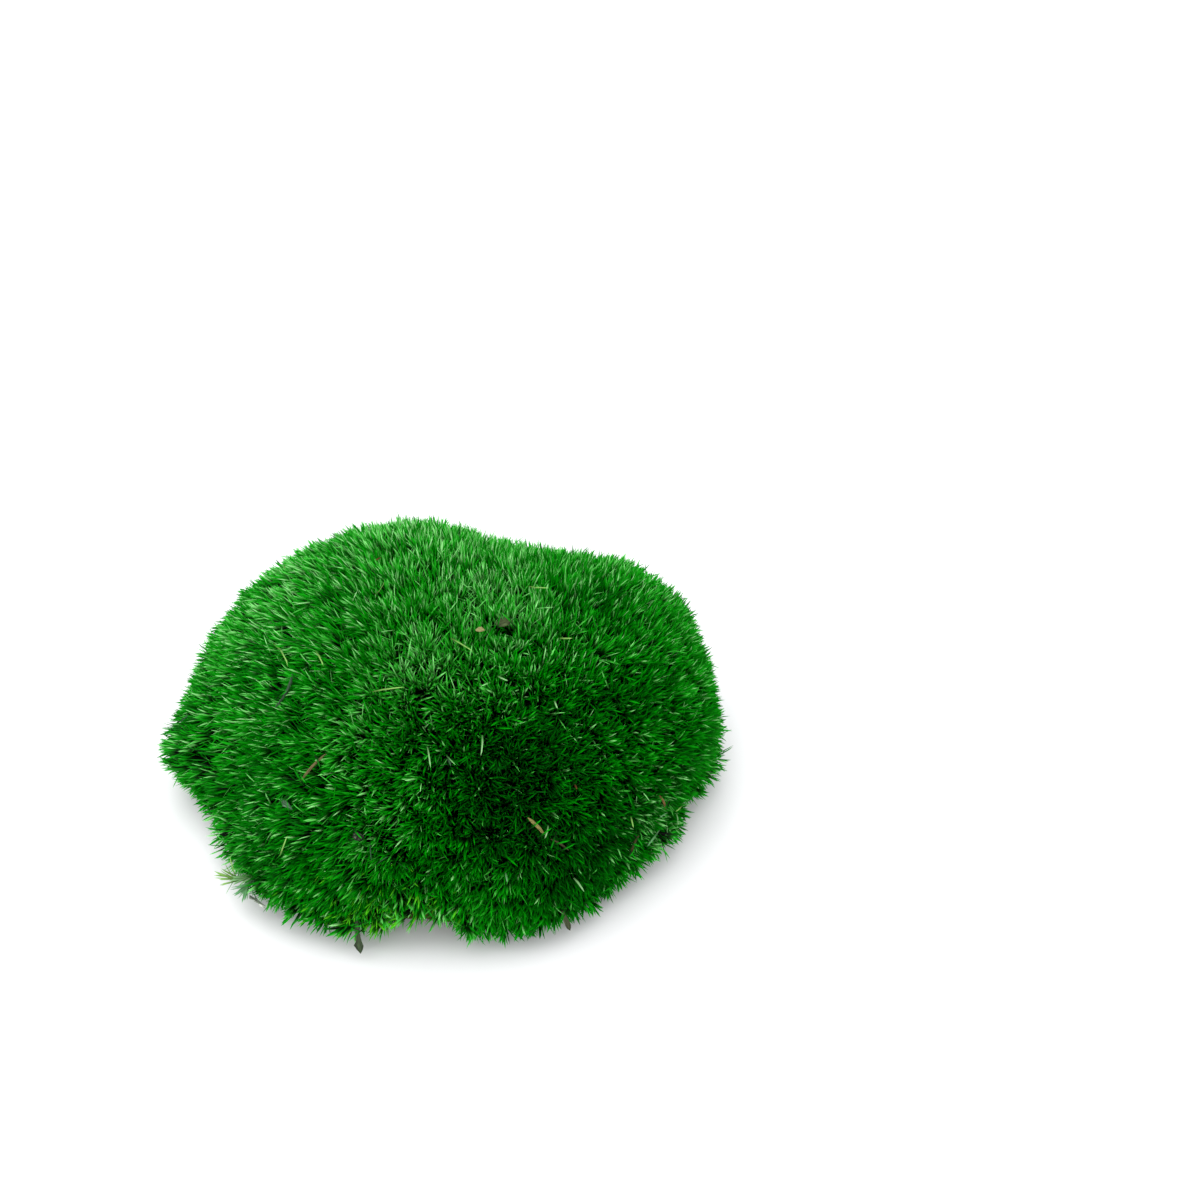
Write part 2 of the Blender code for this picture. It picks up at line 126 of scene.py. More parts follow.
LEAF_SECTIONS = (0.0, 0.36, 0.80, 1.0)  # along a leaf, from its foot to its point
LEAF_FULLNESS = (0.70, 1.0, 0.76, 0.0)  # its width there, as a share of its widest
LEAF_FOLD = math.radians(36)  # how far each half of a leaf is folded up from flat
TUFT_DEPTH = 0.0024  # how far the tips of the lowest leaves are below a tuft's tip
CROSSING_SHARE = 0.13  # leaves that lean out over their neighbours
CROSSING_LEAN = (10, 36)  # how much further they lean, degrees
CROSSING_WIDTH = 0.78  # their width, as a share of the others'
LEAF_START = 0.01  # where a leaf's foot starts on its painted shade: 0 is the darkest painted shade, 1 is the tip's colour
CROSSING_START = 0.32  # the same for leaves that cross their neighbours
LYING_START = 0.60  # for odd leaves and loose shoots
COVER_START = 0.40  # and for leaves that cross over the litter
LEAN_ASTRAY, TURN_ASTRAY, BEND_ASTRAY, ROLL_ASTRAY = 5, 9, 7, 26  # how leaves vary, degrees
LEAN_CURVE, DEPTH_CURVE = 0.8, 1.2  # powers of a leaf's youth in its lean, and of the rest in depth
LENGTH_SPAN, WIDTH_SPAN = (0.82, 1.12), (0.75, 1.20)  # how they vary, as shares of the usual
TIP_ASTRAY = 0.00025  # how far their tips vary along the shoot
SICKLE = 0.05  # how far a tip is bent to a side, as a share of the leaf's length
LYING_BEND, LYING_SICKLE, LYING_ROLL = 16, 0.09, 24  # the same for leaves that lie on the tufts

FineLeaves = namedtuple("FineLeaves", "bearing elevation spread share start")
# Where leaves are narrower, by what share, and how much nearer to the foot their painted shade
# gives way to green.
FINE_LEAVES = FineLeaves(100, 45, 60, 0.28, 0.11)

TONES = 160  # narrow strips of the leaf's colour map, each with a tone of its own
TONE_STRIP = (0.15, 0.85)  # the part of its strip that a leaf takes
MAP_TOP = 0.99  # where a leaf's point is on the map
MAP_NAME = "OFBake"
USUAL_TONE = 0.34  # of a living leaf
TONE_RIPPLES = ((0.05, 0.022, 31), (0.04, 0.005, 32))  # their strength, wavelength and seed
YOUNG_TONE = 0.08  # how much paler a tuft's youngest leaf is than its oldest
TONE_ASTRAY = 0.13  # how far a leaf's own tone varies
LIVE_TONES = (0.02, 0.76)  # strips of living leaves, from deep green to faint green
FADED_TONES = (0.62, 0.80)  # strips of faded leaves
ODD_TONES = {  # strips of the odd leaves, as shares of the map's width
    "lime": 0.84, "straw": 0.865, "white": 0.89, "teal": 0.915, "orange": 0.94, "brown": 0.965,
    "grey": 0.99,
}
ODD_COLOURS = {  # of those strips as seen, except lime, which is a setting
    "straw": (138, 184, 98), "white": (140, 190, 132), "teal": (100, 156, 106),
    "orange": (104, 72, 28), "brown": (96, 52, 30), "grey": (52, 84, 60),
}
ODD_HALF = 0.011  # half the width of an odd strip
LEAF_PAINTED_SHADE = (  # along the map: what the tone's colour is multiplied by, a painted shade that is black at the foot deep in the tufts, and a painted highlight that lifts the tip above its tone
    (0.0, (0, 0, 0)), (0.42, (0, 0.01, 0)), (0.57, (0.05, 0.12, 0.03)),
    (0.72, (0.62, 0.68, 0.56)), (0.88, (0.94, 0.97, 0.92)), (1.0, (1.22, 1.20, 1.16)),
)
LEAF_MARGIN_AND_HIGHLIGHT = ((0.0, 0.80), (0.08, 0.92), (0.35, 1.0))  # the same away from the midrib: darker along the midrib and paler at the margins, partly the leaves' own pale margins and partly a painted highlight on their edges

Patch = namedtuple("Patch", "bearing elevation spread tone faded lime")
LIGHT_AND_SHADE_PATCHES = (  # mostly painted light and shade: leaves paler, with more of them faded, where light falls on the top, back and left, and deeper where shade falls on the front, the lower right and the middle that faces the camera; lime is painted in where light shines through the fringe beside its thin place; a few small patches are real clusters of pale leaves
    Patch(112, 42, 34, 0.04, 0.36, 0),
    Patch(180, 12, 30, 0.02, 0.08, 0),
    Patch(148, 45, 12, -0.07, -0.10, 0),
    Patch(36, 80, 9, 0.08, 0.14, 0),
    Patch(320, 76, 9, 0.07, 0.16, 0),
    Patch(352, 55, 6, 0.08, 0.08, 0),
    Patch(30, 22, 26, -0.04, 0.05, 0),
    Patch(22, 52, 8, -0.12, -0.06, 0),
    Patch(350, 40, 9, -0.08, -0.03, 0),
    Patch(256, 54, 14, 0.10, 0.02, 0),
    Patch(277, 33, 15, -0.27, -0.05, 0),
    Patch(232, 57, 18, 0.12, 0.02, 0),
    Patch(193, 20, 16, -0.10, -0.04, 0),
    Patch(240, 24, 7, 0.13, 0.04, 0),
    Patch(214, 8, 9, -0.22, -0.06, 0),
    Patch(260, 12, 6, 0.09, 0.02, 0),
    Patch(268, 2, 14, 0.03, 0, 0),
    Patch(310, 5, 26, -0.22, -0.03, 0),
    Patch(236, 10, 16, -0.10, -0.02, 0),
    Patch(249, -10, 8, 0.20, 0.04, 0.38),
    Patch(323, 2, 7, 0.06, 0.40, 0),
    Patch(216, 0, 8, 0.06, 0.14, 0),
)

ZONES = (  # the pieces that the leaves are divided into, with the bearings of all but the first
    ("crown_leaves", None),
    ("right_leaves", (-48, 40)),
    ("back_leaves", (40, 112)),
    ("back_left_leaves", (112, 172)),
    ("front_left_leaves", (172, 236)),
    ("front_leaves", (236, 312)),
)

LooseShoot = namedtuple("LooseShoot", "bearing reach height out_bearing rise length leaves tone")
LOOSE_SHOOTS = (  # pale shoots that stick out of the fringe: degrees and metres
    LooseShoot(215.5, 0.0685, 0.0114, 188, 24, 0.0056, 14, "straw"),
    LooseShoot(217.0, 0.0670, 0.0102, 200, 8, 0.0054, 12, "white"),
    LooseShoot(219.0, 0.0670, 0.0076, 212, -14, 0.0056, 10, "teal"),
    LooseShoot(220.5, 0.0662, 0.0062, 236, -40, 0.0052, 8, "teal"),
)

FRINGE_SHOOTS = 300  # tufts that hang out over the ground all round
FRINGE_HEIGHTS = (0.0006, 0.0090)  # of their tips above the ground
FRINGE_REACH = (0.0032, 0.0004)  # of their tips beyond the dome, for the lowest and the highest
FRINGE_ASTRAY = 0.0011  # how far their reach varies from that
FRINGE_DIPS = (30, 12)  # how far they point down, for the lowest and the highest, degrees
DIP_ASTRAY, BEARING_ASTRAY = 8, 16  # how far they point another way, degrees
# Between these bearings tufts are raised by this height, and no leaf ends lower than it.
BARE_FRINGE = (250, 264, 0.0052)
FRINGE_LEAVES = 13
FRINGE_LENGTHS = (0.0070, 0.0054)  # of the lowest leaves of a tuft and of its middle ones
FRINGE_SPREAD = 12  # how much further the leaves spread than in other tufts, degrees
FRINGE_WIDE = 1.18  # the width of their leaves, as a share of other leaves
FRINGE_TONE = 0.08  # how much paler they are

ODD_DEPTH = 0.0004  # how far the odd leaves are sunk in the others
OddLeaf = namedtuple("OddLeaf", "bearing elevation turn length width tone")
ODD_LEAVES = (  # single leaves that lie across the others, with the turn as for the litter
    OddLeaf(228.5, 10.7, 13, 0.0052, 0.0006, "straw"),
    OddLeaf(272.9, 41.6, 179, 0.0045, 0.0005, "white"),
    OddLeaf(255.7, 37.8, 155, 0.0046, 0.0004, "white"),
    OddLeaf(306.0, 48.0, -167, 0.0019, 0.0004, "white"),
    OddLeaf(295.5, 2.0, 148, 0.0064, 0.0005, "white"),
    OddLeaf(288.4, 19.0, -163, 0.0028, 0.0004, "white"),
    OddLeaf(229.5, 50.9, 46, 0.0070, 0.0004, "straw"),
    OddLeaf(253.0, 73.9, 109, 0.0062, 0.0004, "straw"),
    OddLeaf(37.0, 66.6, -150, 0.0046, 0.0004, "straw"),
    OddLeaf(286.5, 60.7, 134, 0.0024, 0.0004, "white"),
    OddLeaf(340.8, 60.8, 160, 0.0028, 0.0004, "straw"),
    OddLeaf(162.3, 50.5, -95, 0.0033, 0.0004, "white"),
    OddLeaf(156.3, 57.3, -76, 0.0046, 0.0005, "straw"),
    OddLeaf(299.3, 26.7, 171, 0.0012, 0.0005, "brown"),
    OddLeaf(262.1, 37.2, 149, 0.0019, 0.0005, "grey"),
    OddLeaf(182.9, 34.1, 54, 0.0105, 0.0004, "straw"),
    OddLeaf(194.0, 42.8, 74, 0.0055, 0.0004, "straw"),
    OddLeaf(326.0, -1.5, 173, 0.0057, 0.0005, "white"),
    OddLeaf(321.6, -0.2, -129, 0.0035, 0.0006, "teal"),
    OddLeaf(320.5, -0.9, -129, 0.0036, 0.0005, "teal"),
    OddLeaf(324.7, 4.9, -79, 0.0027, 0.0004, "teal"),
    OddLeaf(330.8, -1.9, 169, 0.0053, 0.0005, "white"),
    OddLeaf(331.3, 1.8, -78, 0.0029, 0.0004, "straw"),
    OddLeaf(313.8, 10.1, 167, 0.0032, 0.0004, "straw"),
    OddLeaf(277.5, 10.1, 170, 0.0024, 0.0005, "teal"),
    OddLeaf(144.2, 22.8, 39, 0.0023, 0.0005, "orange"),
    OddLeaf(139.2, 50.3, 120, 0.0014, 0.0005, "brown"),
    OddLeaf(182.5, 8.0, 3, 0.0036, 0.0004, "grey"),
    OddLeaf(249.1, 13.0, 40, 0.0030, 0.0003, "grey"),
    OddLeaf(253.6, 12.0, 120, 0.0034, 0.0003, "grey"),
    OddLeaf(246.5, 14.6, 167, 0.0038, 0.0004, "grey"),
    OddLeaf(251.8, -8.5, 100, 0.0020, 0.0006, "grey"),
)

# ---- The humus ---------------------------------------------------------------------------------

STEM_DEPTH = 0.0066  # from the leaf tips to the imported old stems
STEM_CELLS = (70, 160)  # rows and columns of their surface
STEM_BASE = 0.0040  # where their surface closes, above the ground
STEM_FURTHER = 12  # how far below the lowest leaf tips it goes, degrees
STEM_RIPPLES = ((0.0004, 0.004, 3),)
HUMUS_CELLS = (30, 14, 3, 240)  # rows across the foot, up the side and over the top; columns
HUMUS_RAGGED = 0.0009  # how ragged the mat's side is
CUT_PITS = 0.0005  # how deep the cut foot is pitted
SIDE_BULGE = 0.02  # how far its side bulges, as a share of its radius
SIDE_FROM = 0.93  # the share of its radius from which it is ragged
SIDE_RIPPLES = ((1, 0.006, 51), (0.5, 0.002, 52))  # strength, wavelength and seed
SIDE_STRENGTH = 1.5  # of these together
PIT_RIPPLES = ((1, 0.0045, 53), (0.4, 0.0016, 54))
STRANDS = 900  # old stems that hang out of the mat's side
STRAND_STEPS = 4
STRAND_WIDTH, STRAND_WIDTHS = 0.00032, (0.6, 1.4)  # and how it varies, as shares of it
STRAND_HEIGHTS = (0.0020, 0.0085)  # where they start above the ground
STRAND_INSET = 0.0006  # and how deep in the mat's side
STRAND_REACH = (0.0006, 0.0034)  # how far out they end
STRAND_FALLS, STRAND_LOWEST = (0.001, 0.006), 0.0004  # how far they fall, and to what height
STRAND_SWING = 0.0012  # how far they end to a side
STRAND_TAPER = 0.5  # how much narrower they get before their point, as a share of their width
STRAND_GAP = 0.0001  # their skin stays this far above the ground
STRAND_SEED = 17

# ---- The litter, close to its place in the frame: metres and degrees ----------------------------
# A turn is counted from uphill towards a growing bearing.  The lift is from the leaf tips.

Litter = namedtuple(
    "Litter", "name kind bearing elevation turn length width thickness bend curl lift slot finish"
)
LITTER = (
    Litter("brown_needle", "needle", 226.1, 27.3, 10,
           0.0078, 0.0007, 0.0007, 0.00035, 0, -0.0005, "needle_brown", "needle_brown"),
    Litter("tan_needle", "needle", 285.9, 21.1, 145,
           0.0050, 0.0009, 0.0007, 0.00015, 0, -0.0005, "needle_tan", "needle_tan"),
    Litter("thin_brown_needle", "needle", 291.2, 15.1, 136,
           0.0052, 0.0005, 0.0005, 0.0002, 0, -0.0006, "needle_brown", "needle_dull"),
    Litter("orange_needle", "needle", 325.2, 8.8, 166,
           0.0046, 0.0006, 0.0005, 0.0003, 0, -0.0006, "needle_orange", "needle_orange"),
    Litter("brown_twig", "twig", 313.8, 2.1, 32,
           0.0045, 0.0006, 0.0006, 0.0003, 0, -0.0006, "twig_brown", "twig_brown"),
    Litter("grey_twig", "twig", 198.5, 32.3, 139,
           0.0082, 0.0007, 0.0006, 0.0009, 0, -0.0006, "twig_grey", "twig_grey"),
    Litter("seed_scale", "scale", 274.9, 81.3, 94,
           0.0019, 0.0014, 0.0004, 0, 0.0003, -0.0007, "scale_tan", "scale_tan"),
    Litter("leaf_scrap", "scrap", 329.9, 80.2, 130,
           0.0036, 0.0023, 0.0004, 0, 0.0004, -0.0008, "leaf_brown", "leaf_brown"),
    Litter("grey_flake", "scrap", 225.1, 18.4, 95,
           0.0036, 0.0012, 0.0004, 0, 0.0003, -0.0005, "flake_grey", "flake_grey"),
    Litter("bark_flake", "scrap", 221.9, -6.9, 80,
           0.0058, 0.0034, 0.0004, 0, 0.0005, 0.0007, "flake_grey", "bark_pale"),
    Litter("dark_crumb", "crumb", 242.9, 17.4, 0,
           0.0019, 0.0017, 0.0018, 0, 0, -0.0007, "crumb_dark", "crumb_dark"),
)

COVERED = {  # where leaves cross over the litter, as shares of its length from its middle
    "brown_needle": (-0.46, -0.38, 0.26),
    "tan_needle": (-0.10, 0.40),
    "thin_brown_needle": (-0.40, -0.10, 0.30),
    "orange_needle": (-0.40, 0.36),
    "brown_twig": (-0.44, -0.30, -0.18, -0.04, 0.06, 0.34),
    "grey_twig": (-0.42, 0.16),
    "leaf_scrap": (-0.42, 0.30, 0.46),
    "grey_flake": (-0.40, -0.24, 0.40),
    "dark_crumb": (-0.40, 0.36),
    "front_hanging_leaf": (-0.46, -0.38, -0.30, -0.20, -0.12),
    "right_hanging_leaf": (-0.44, -0.32),
}
COVER_LENGTH, COVER_WIDTH = 0.0036, 0.00046  # of these leaves
COVER_GAP = 0.0001  # between one and its piece
COVER_TURN = 28  # how far they are turned from square across it, degrees
COVER_SPAN = (0.9, 1.2)  # how their length varies, as shares of it
COVER_TONES = (0.1, 0.5)
BARED = {"bark_flake": 0.0050}  # how far ahead of a piece the leaves are cleared
CLEAR_SHARES = (0.4, 0.5, 0.6, 0.7, 0.8, 0.9, 1.0)  # where along a leaf it may not be in a piece
CLEAR_LENGTH = 0.46  # half a piece's length that is kept clear, as a share of it
CLEAR_BESIDE, CLEAR_ABOVE = 0.0001, 0.0002  # how much more is kept clear round it

Hanging = namedtuple(
    "Hanging", "name kind bearing reach height lean turn length width thickness slot finish"
)
# A hanging leaf's tip leans outwards from straight down, and is turned towards a growing bearing.
HANGINGS = (  # leaves that hang by their stalk from the fringe
    Hanging("front_hanging_leaf", "arrow", 244.7, 0.0579, 0.0057, 25, 18,
            0.0074, 0.0024, 0.0005, "leaf_green_grey", "leaf_green_grey"),
    Hanging("right_hanging_leaf", "blade", 291.1, 0.0523, 0.0067, 8, 14,
            0.0058, 0.0012, 0.0005, "leaf_green_grey", "leaf_olive"),
)

PROFILES = {  # width at even steps from the foot to the point, as a share of the widest
    "needle": (0.26, 0.58, 0.78, 0.84, 0.84, 0.82, 0.76, 0.62, 0.24),
    "twig": (0.55, 0.90, 1.0, 0.86, 0.94, 1.0, 0.80, 0.72, 0.45),
    "scale": (0.30, 0.62, 0.84, 0.97, 1.0, 0.98, 0.88, 0.66, 0.30),
    "scrap": (0.35, 0.80, 0.92, 1.0, 0.86, 0.96, 0.84, 0.70, 0.25),
    "crumb": (0.25, 0.66, 0.87, 0.97, 1.0, 0.97, 0.87, 0.66, 0.25),
    "arrow": (0.30, 0.36, 0.44, 0.48, 0.48, 0.58, 1.0, 0.66, 0.08),
    "blade": (0.50, 0.62, 0.74, 0.86, 0.97, 1.0, 0.92, 0.66, 0.10),
}
RING_COUNT, RING_SIDES = 34, 16  # of each piece of litter
ROUGHNESS = {"needle": 0.04, "twig": 0.16, "scale": 0.05, "scrap": 0.20, "crumb": 0.36,
             "arrow": 0.06, "blade": 0.04}  # how uneven each kind is, as a share of its width
RING_RIPPLES = ((1.0, 1.3, 41), (0.5, 0.5, 42))  # strength, wavelength over width, and seed
RING_END = 0.02  # how far a piece's end points are past its end rings, as a share of its length
LEAF_CURL = 1 / 6  # of a hanging leaf, as a share of its width
MAP_ENDS = (0.03, 0.94)  # where the first ring is on the map, and how much of it the rings take

# ---- The stage ---------------------------------------------------------------------------------

PICTURE_SIDE = 1200  # pixels of the square picture
SENSOR_WIDTH = 36.0  # millimetres
CLUMP_PIXEL = (484.8, 783.4)  # where the ground under the growth centre is in the picture
FLOOR_HALF = 4.0
KEY_PLACE = (-0.32, 0.28, 1.25)
LOW_PLACE = (-0.40, -0.90, 0.40)
LIGHT_TARGET = (0, 0, 0.02)
CLIP = (0.01, 20)  # the nearest and the furthest that the camera sees


def linear(seen):
    """A colour given as seen, 0 to 255, as the linear values that a shader takes."""
    shares = [value / 255 for value in seen]
    return [s / 12.92 if s <= 0.04045 else ((s + 0.055) / 1.055) ** 2.4 for s in shares]


# ---- Settings ----------------------------------------------------------------------------------


def length(name, description, default):
    """A setting in metres."""
    return bpy.props.FloatProperty(
        name=name, description=description, default=default, min=0, precision=5, unit="LENGTH"
    )


def angle(name, description, degrees):
    """A setting in degrees, kept in radians."""
    return bpy.props.FloatProperty(
        name=name, description=description, default=math.radians(degrees), subtype="ANGLE"
    )


def share(name, description, default):
    """A setting from 0 to 1."""
    return bpy.props.FloatProperty(
        name=name, description=description, default=default, min=0, max=1, subtype="FACTOR"
    )


def colour(name, description, seen):
    """A colour setting, its default given as seen, 0 to 255."""
    return bpy.props.FloatVectorProperty(
        name=name, description=description, default=linear(seen), min=0, max=1, size=3,
        subtype="COLOR",
    )


class MossLeafSettings(bpy.types.PropertyGroup):
    """The leaves and how they stand on the shoots."""

    spacing: length("Shoot Spacing", "From a shoot to the next one", 0.0027)
    leaves: bpy.props.IntProperty(
        name="Leaves", description="Leaves in the tuft at the end of a shoot", default=21, min=1
    )
    longest: length("Old Leaf Length", "Length of the lowest leaves of a tuft", 0.0090)
    shortest: length("Young Leaf Length", "Length of the leaves in a tuft's middle", 0.0060)
    width: length("Leaf Width", "Width of a leaf at its widest", 0.00067)
    spread: angle("Spread", "Lean of the lowest leaves away from the shoot", 30)
    closed: angle("Closed", "Lean of the leaves in the middle of a tuft", 5)
    recurve: angle("Recurve", "How far a leaf bends outwards along its length", 5)
    uneven: length("Unevenness", "How far shoots stand short of the dome at most", 0.0014)
    lean: angle("Lean", "How far neighbouring shoots lean together", 8)
    faded: share("Faded Share", "Faded leaves among the rest", 0.06)
    deep: colour("Deep Green", "The darkest leaves", (0, 85, 8))
    green: colour("Green", "Most of the leaves", (0, 135, 2))
    fresh: colour("Fresh Green", "Young leaves", (8, 167, 8))
    faint: colour("Faint Green", "Leaves that begin to fade", (86, 208, 80))
    pale: colour("Pale Green", "Faded leaves", (162, 238, 154))
    # Lime is bright partly as the fringe's young leaves are, and partly as painted light shining
    # through them.
    lime: colour("Lime Green", "Bright young leaves of the fringe", (96, 212, 34))


class MossHumusSettings(bpy.types.PropertyGroup):
    """The old stems and the humus."""

    # The stems' near-black colours are partly their own and partly painted shade in the gaps
    # between the tufts.
    stem_dark_and_shade: colour("Dark Stems", "Old stems deep in the clump", (1, 6, 1))
    stem_green: colour("Green Stems", "Old stems near the leaves", (3, 16, 3))
    stem_brown: colour("Brown Stems", "Old stems that have browned", (14, 13, 7))
    soil: colour("Soil", "Fine dark soil in the mat", (38, 27, 18))
    fibre: colour("Fibre", "Brown fibres of the mat", (84, 60, 38))
    thread: colour("Thread", "The palest old roots", (132, 100, 66))


class MossStageSettings(bpy.types.PropertyGroup):
    """The floor, the light and the camera."""

    floor: colour("Floor", "The pale table", (232, 232, 234))
    sky: bpy.props.FloatProperty(
        name="Sky", description="Strength of the even light from all round", default=1.35, min=0
    )
    key: bpy.props.FloatProperty(
        name="Key Light", description="Power of the large light above", default=12, min=0,
        unit="POWER",
    )
    low: bpy.props.FloatProperty(
        name="Low Light", description="Power of the light low in front", default=3, min=0,
        unit="POWER",
    )
    key_size: length("Key Size", "Width of the large light above", 2.0)
    low_size: length("Low Light Size", "Width of the light low in front", 0.8)
    pitch: angle("Camera Pitch", "How far the camera looks down", 40)
    distance: length("Camera Distance", "From the camera to the clump along its view", 0.638)
    lens: bpy.props.FloatProperty(
        name="Lens", description="Focal length in millimetres", default=85, min=1
    )


# ---- Making meshes -----------------------------------------------------------------------------


def mesh_piece(name, points, quads, triangles, material, map_places=None, smooth=True):
    """An object at the origin with these points and faces, and its map given corner by corner.

    The map's places are listed for the corners of the quads and then of the triangles.
    """
    quads, triangles = np.reshape(quads, (-1, 4)), np.reshape(triangles, (-1, 3))
    corners = np.concatenate([quads.ravel(), triangles.ravel()])
    starts = np.concatenate([
        np.arange(len(quads)) * 4,
        quads.size + np.arange(len(triangles)) * 3,
    ])
    mesh = bpy.data.meshes.new(name)
    mesh.vertices.add(len(points))
    mesh.vertices.foreach_set("co", np.asarray(points, np.float32).ravel())
    mesh.loops.add(len(corners))
    mesh.loops.foreach_set("vertex_index", corners.astype(np.int32))
    mesh.polygons.add(len(starts))
    mesh.polygons.foreach_set("loop_start", starts.astype(np.int32))
    mesh.polygons.foreach_set("use_smooth", np.full(len(starts), smooth))
    if map_places is not None:
        uv = mesh.uv_layers.new(name=MAP_NAME)
        uv.data.foreach_set("uv", np.asarray(map_places, np.float32).ravel())
    mesh.update(calc_edges=True)
    mesh.validate()
    mesh.materials.append(material)
    made = bpy.data.objects.new(name, mesh)
    bpy.context.scene.collection.objects.link(made)
    return made


def riding(made, slot, *nodes):
    """Lets a piece ride on the clump and hides the nodes that it stands for; the slot is not used.
    """
    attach(made, "root")
    if nodes:
        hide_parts(*nodes)
    return made


def unit(bearing, elevation):
    """The unit direction of a bearing and an elevation in radians."""
    level = np.cos(elevation)
    return np.stack([level * np.cos(bearing), level * np.sin(bearing), np.sin(elevation)], -1)


def normalised(vectors):
    """Vectors of length 1 the same way as these."""
    return vectors / np.linalg.norm(vectors, axis=-1, keepdims=True)


def smooth_step(low, high, value):
    """0 below low, 1 above high, and 3t^2 - 2t^3 between them."""
    t = np.clip((value - low) / (high - low), 0, 1)
    return t * t * (3 - 2 * t)


def ripple(places, wavelength, seed):
    """A smooth uneven field over places in space, about -1.5 to 1.5.

    It is the sum of eight sine waves of that wavelength, each with a direction and a start of its
    own, over two.
    """
    random = np.random.default_rng(seed)
    heading = normalised(random.normal(size=(8, 3))) * (2 * math.pi / wavelength)
    start = random.uniform(0, 2 * math.pi, 8)
    return np.sin(places @ heading.T + start).sum(axis=-1) / 2


def ripples(places, layers):
    """The sum of ripples, each given as its strength, wavelength and seed."""
    return sum(strength * ripple(places, wave, seed) for strength, wave, seed in layers)


def ring_grid(rows, columns):
    """The indices of a grid of rings, and of the next point round each ring."""
    index = np.arange(rows * columns).reshape(rows, columns)
    return index, np.roll(index, -1, axis=1)


def closing(first, second, point):
    """Triangles from the two ends of each edge of a ring to a point."""
    return np.stack([first, second, np.full(len(first), point)], -1)


def rim_radius(bearing):
    """The rim's radius at a bearing in radians: the smooth closed curve through RIM_RADII.

    It is the sum of the waves, one to half as many as there are radii, that meets each of them.
    """
    count = len(RIM_RADII)
    waves = np.fft.rfft(RIM_RADII) / count
    radius = np.full_like(bearing, waves[0].real)
    for order in range(1, len(waves)):
        part = 1 if 2 * order == count else 2
        turn = order * bearing
        radius += part * (waves[order].real * np.cos(turn) - waves[order].imag * np.sin(turn))
    return radius


def nearness(direction, lobe):
    """exp(-(angle from the lobe / its spread)^2 / 2) for unit directions."""
    middle = unit(math.radians(lobe.bearing), math.radians(lobe.elevation))
    away = np.arccos(np.clip(direction @ middle, -1, 1)) / math.radians(lobe.spread)
    return np.exp(-(away**2) / 2)


def tip_distance(bearing, elevation):
    """From the growth centre to the leaf tips, along a bearing and an elevation in radians.

    The dome is a superellipse in section: the sum of cos / rim radius and sin / height, each to
    the power of the fullness, is 1 / distance to that power.  It is squarer under the rim.  Each
    lobe adds its rise, fading as a bell.
    """
    height = np.where(elevation > 0, CROWN_RISE, RIM_HEIGHT)
    fullness = np.where(elevation > 0, FULLNESS, UNDER_FULLNESS)
    across = np.abs(np.cos(elevation) / rim_radius(bearing)) ** fullness
    upright = np.abs(np.sin(elevation) / height) ** fullness
    distance = (across + upright) ** (-1 / fullness)
    direction = unit(bearing, elevation)
    return distance + sum(lobe.rise * nearness(direction, lobe) for lobe in LOBES)


def growth_point(height=RIM_HEIGHT):
    """The growth centre, at a height above the ground."""
    return np.array([*GROWTH_CENTRE, height])


def tip_place(bearing, elevation):
    """The place of the leaf tips along a bearing and an elevation in degrees."""
    bearing, elevation = np.radians([bearing]), np.radians([elevation])
    return (growth_point() + unit(bearing, elevation) * tip_distance(bearing, elevation))[0]


# ---- The shoots --------------------------------------------------------------------------------

Shoots = namedtuple("Shoots", "tip axis side other bearing elevation")


def even_places(spacing):
    """Bearings and elevations, in radians, of places spread evenly over the dome.

    Under the rim, only the places further out than FRINGE_SHARE of its radius are kept.
    The dome's area is summed over a grid of rows and columns.  The pattern's two numbers between
    0 and 1 are carried through the running sums, first down the rows and then round the row.
    """
    rows, columns = AREA_CELLS
    from_top = np.radians(np.linspace(0, 90 - LOWEST_ELEVATION, rows + 1))
    around = np.linspace(0, 2 * math.pi, columns + 1)
    tops, turns = np.meshgrid(from_top, around, indexing="ij")
    elevation = math.pi / 2 - tops
    places = unit(turns, elevation) * tip_distance(turns, elevation)[..., None]
    down = (places[1:, 1:] + places[1:, :-1] - places[:-1, 1:] - places[:-1, :-1]) / 2
    round_row = (places[1:, 1:] + places[:-1, 1:] - places[1:, :-1] - places[:-1, :-1]) / 2
    area = np.linalg.norm(np.cross(down, round_row), axis=-1)

    count = int(area.sum() / (spacing**2 * HEX_AREA))
    steps = np.arange(count) + 0.5
    first, second = (steps * EVEN_STEPS[0]) % 1, (steps * EVEN_STEPS[1]) % 1
    down_sum = np.concatenate([[0], np.cumsum(area.sum(axis=1))]) / area.sum()
    row_place = np.interp(first, down_sum, np.arange(rows + 1))
    row = np.minimum(row_place.astype(int), rows - 1)
    row_sum = np.cumsum(area, axis=1) / area.sum(axis=1, keepdims=True)
    row_sum = np.concatenate([np.zeros((rows, 1)), row_sum], axis=1)
    stacked = (row_sum + np.arange(rows)[:, None]).ravel()
    column_place = np.interp(second + row, stacked, np.tile(np.arange(columns + 1.0), rows))
    elevation = math.pi / 2 - row_place * from_top[-1] / rows
    bearing = column_place * 2 * math.pi / columns
    level = tip_distance(bearing, elevation) * np.cos(elevation)
    outside = (elevation > 0) | (level > FRINGE_SHARE * rim_radius(bearing))
    return bearing[outside], elevation[outside]


def with_sides(tip, axis, bearing, elevation):
    """Shoots with two directions square to their axes."""
    side = normalised(np.cross(axis, SIDE_GUIDE))
    return Shoots(tip, axis, side, np.cross(axis, side), bearing, elevation)


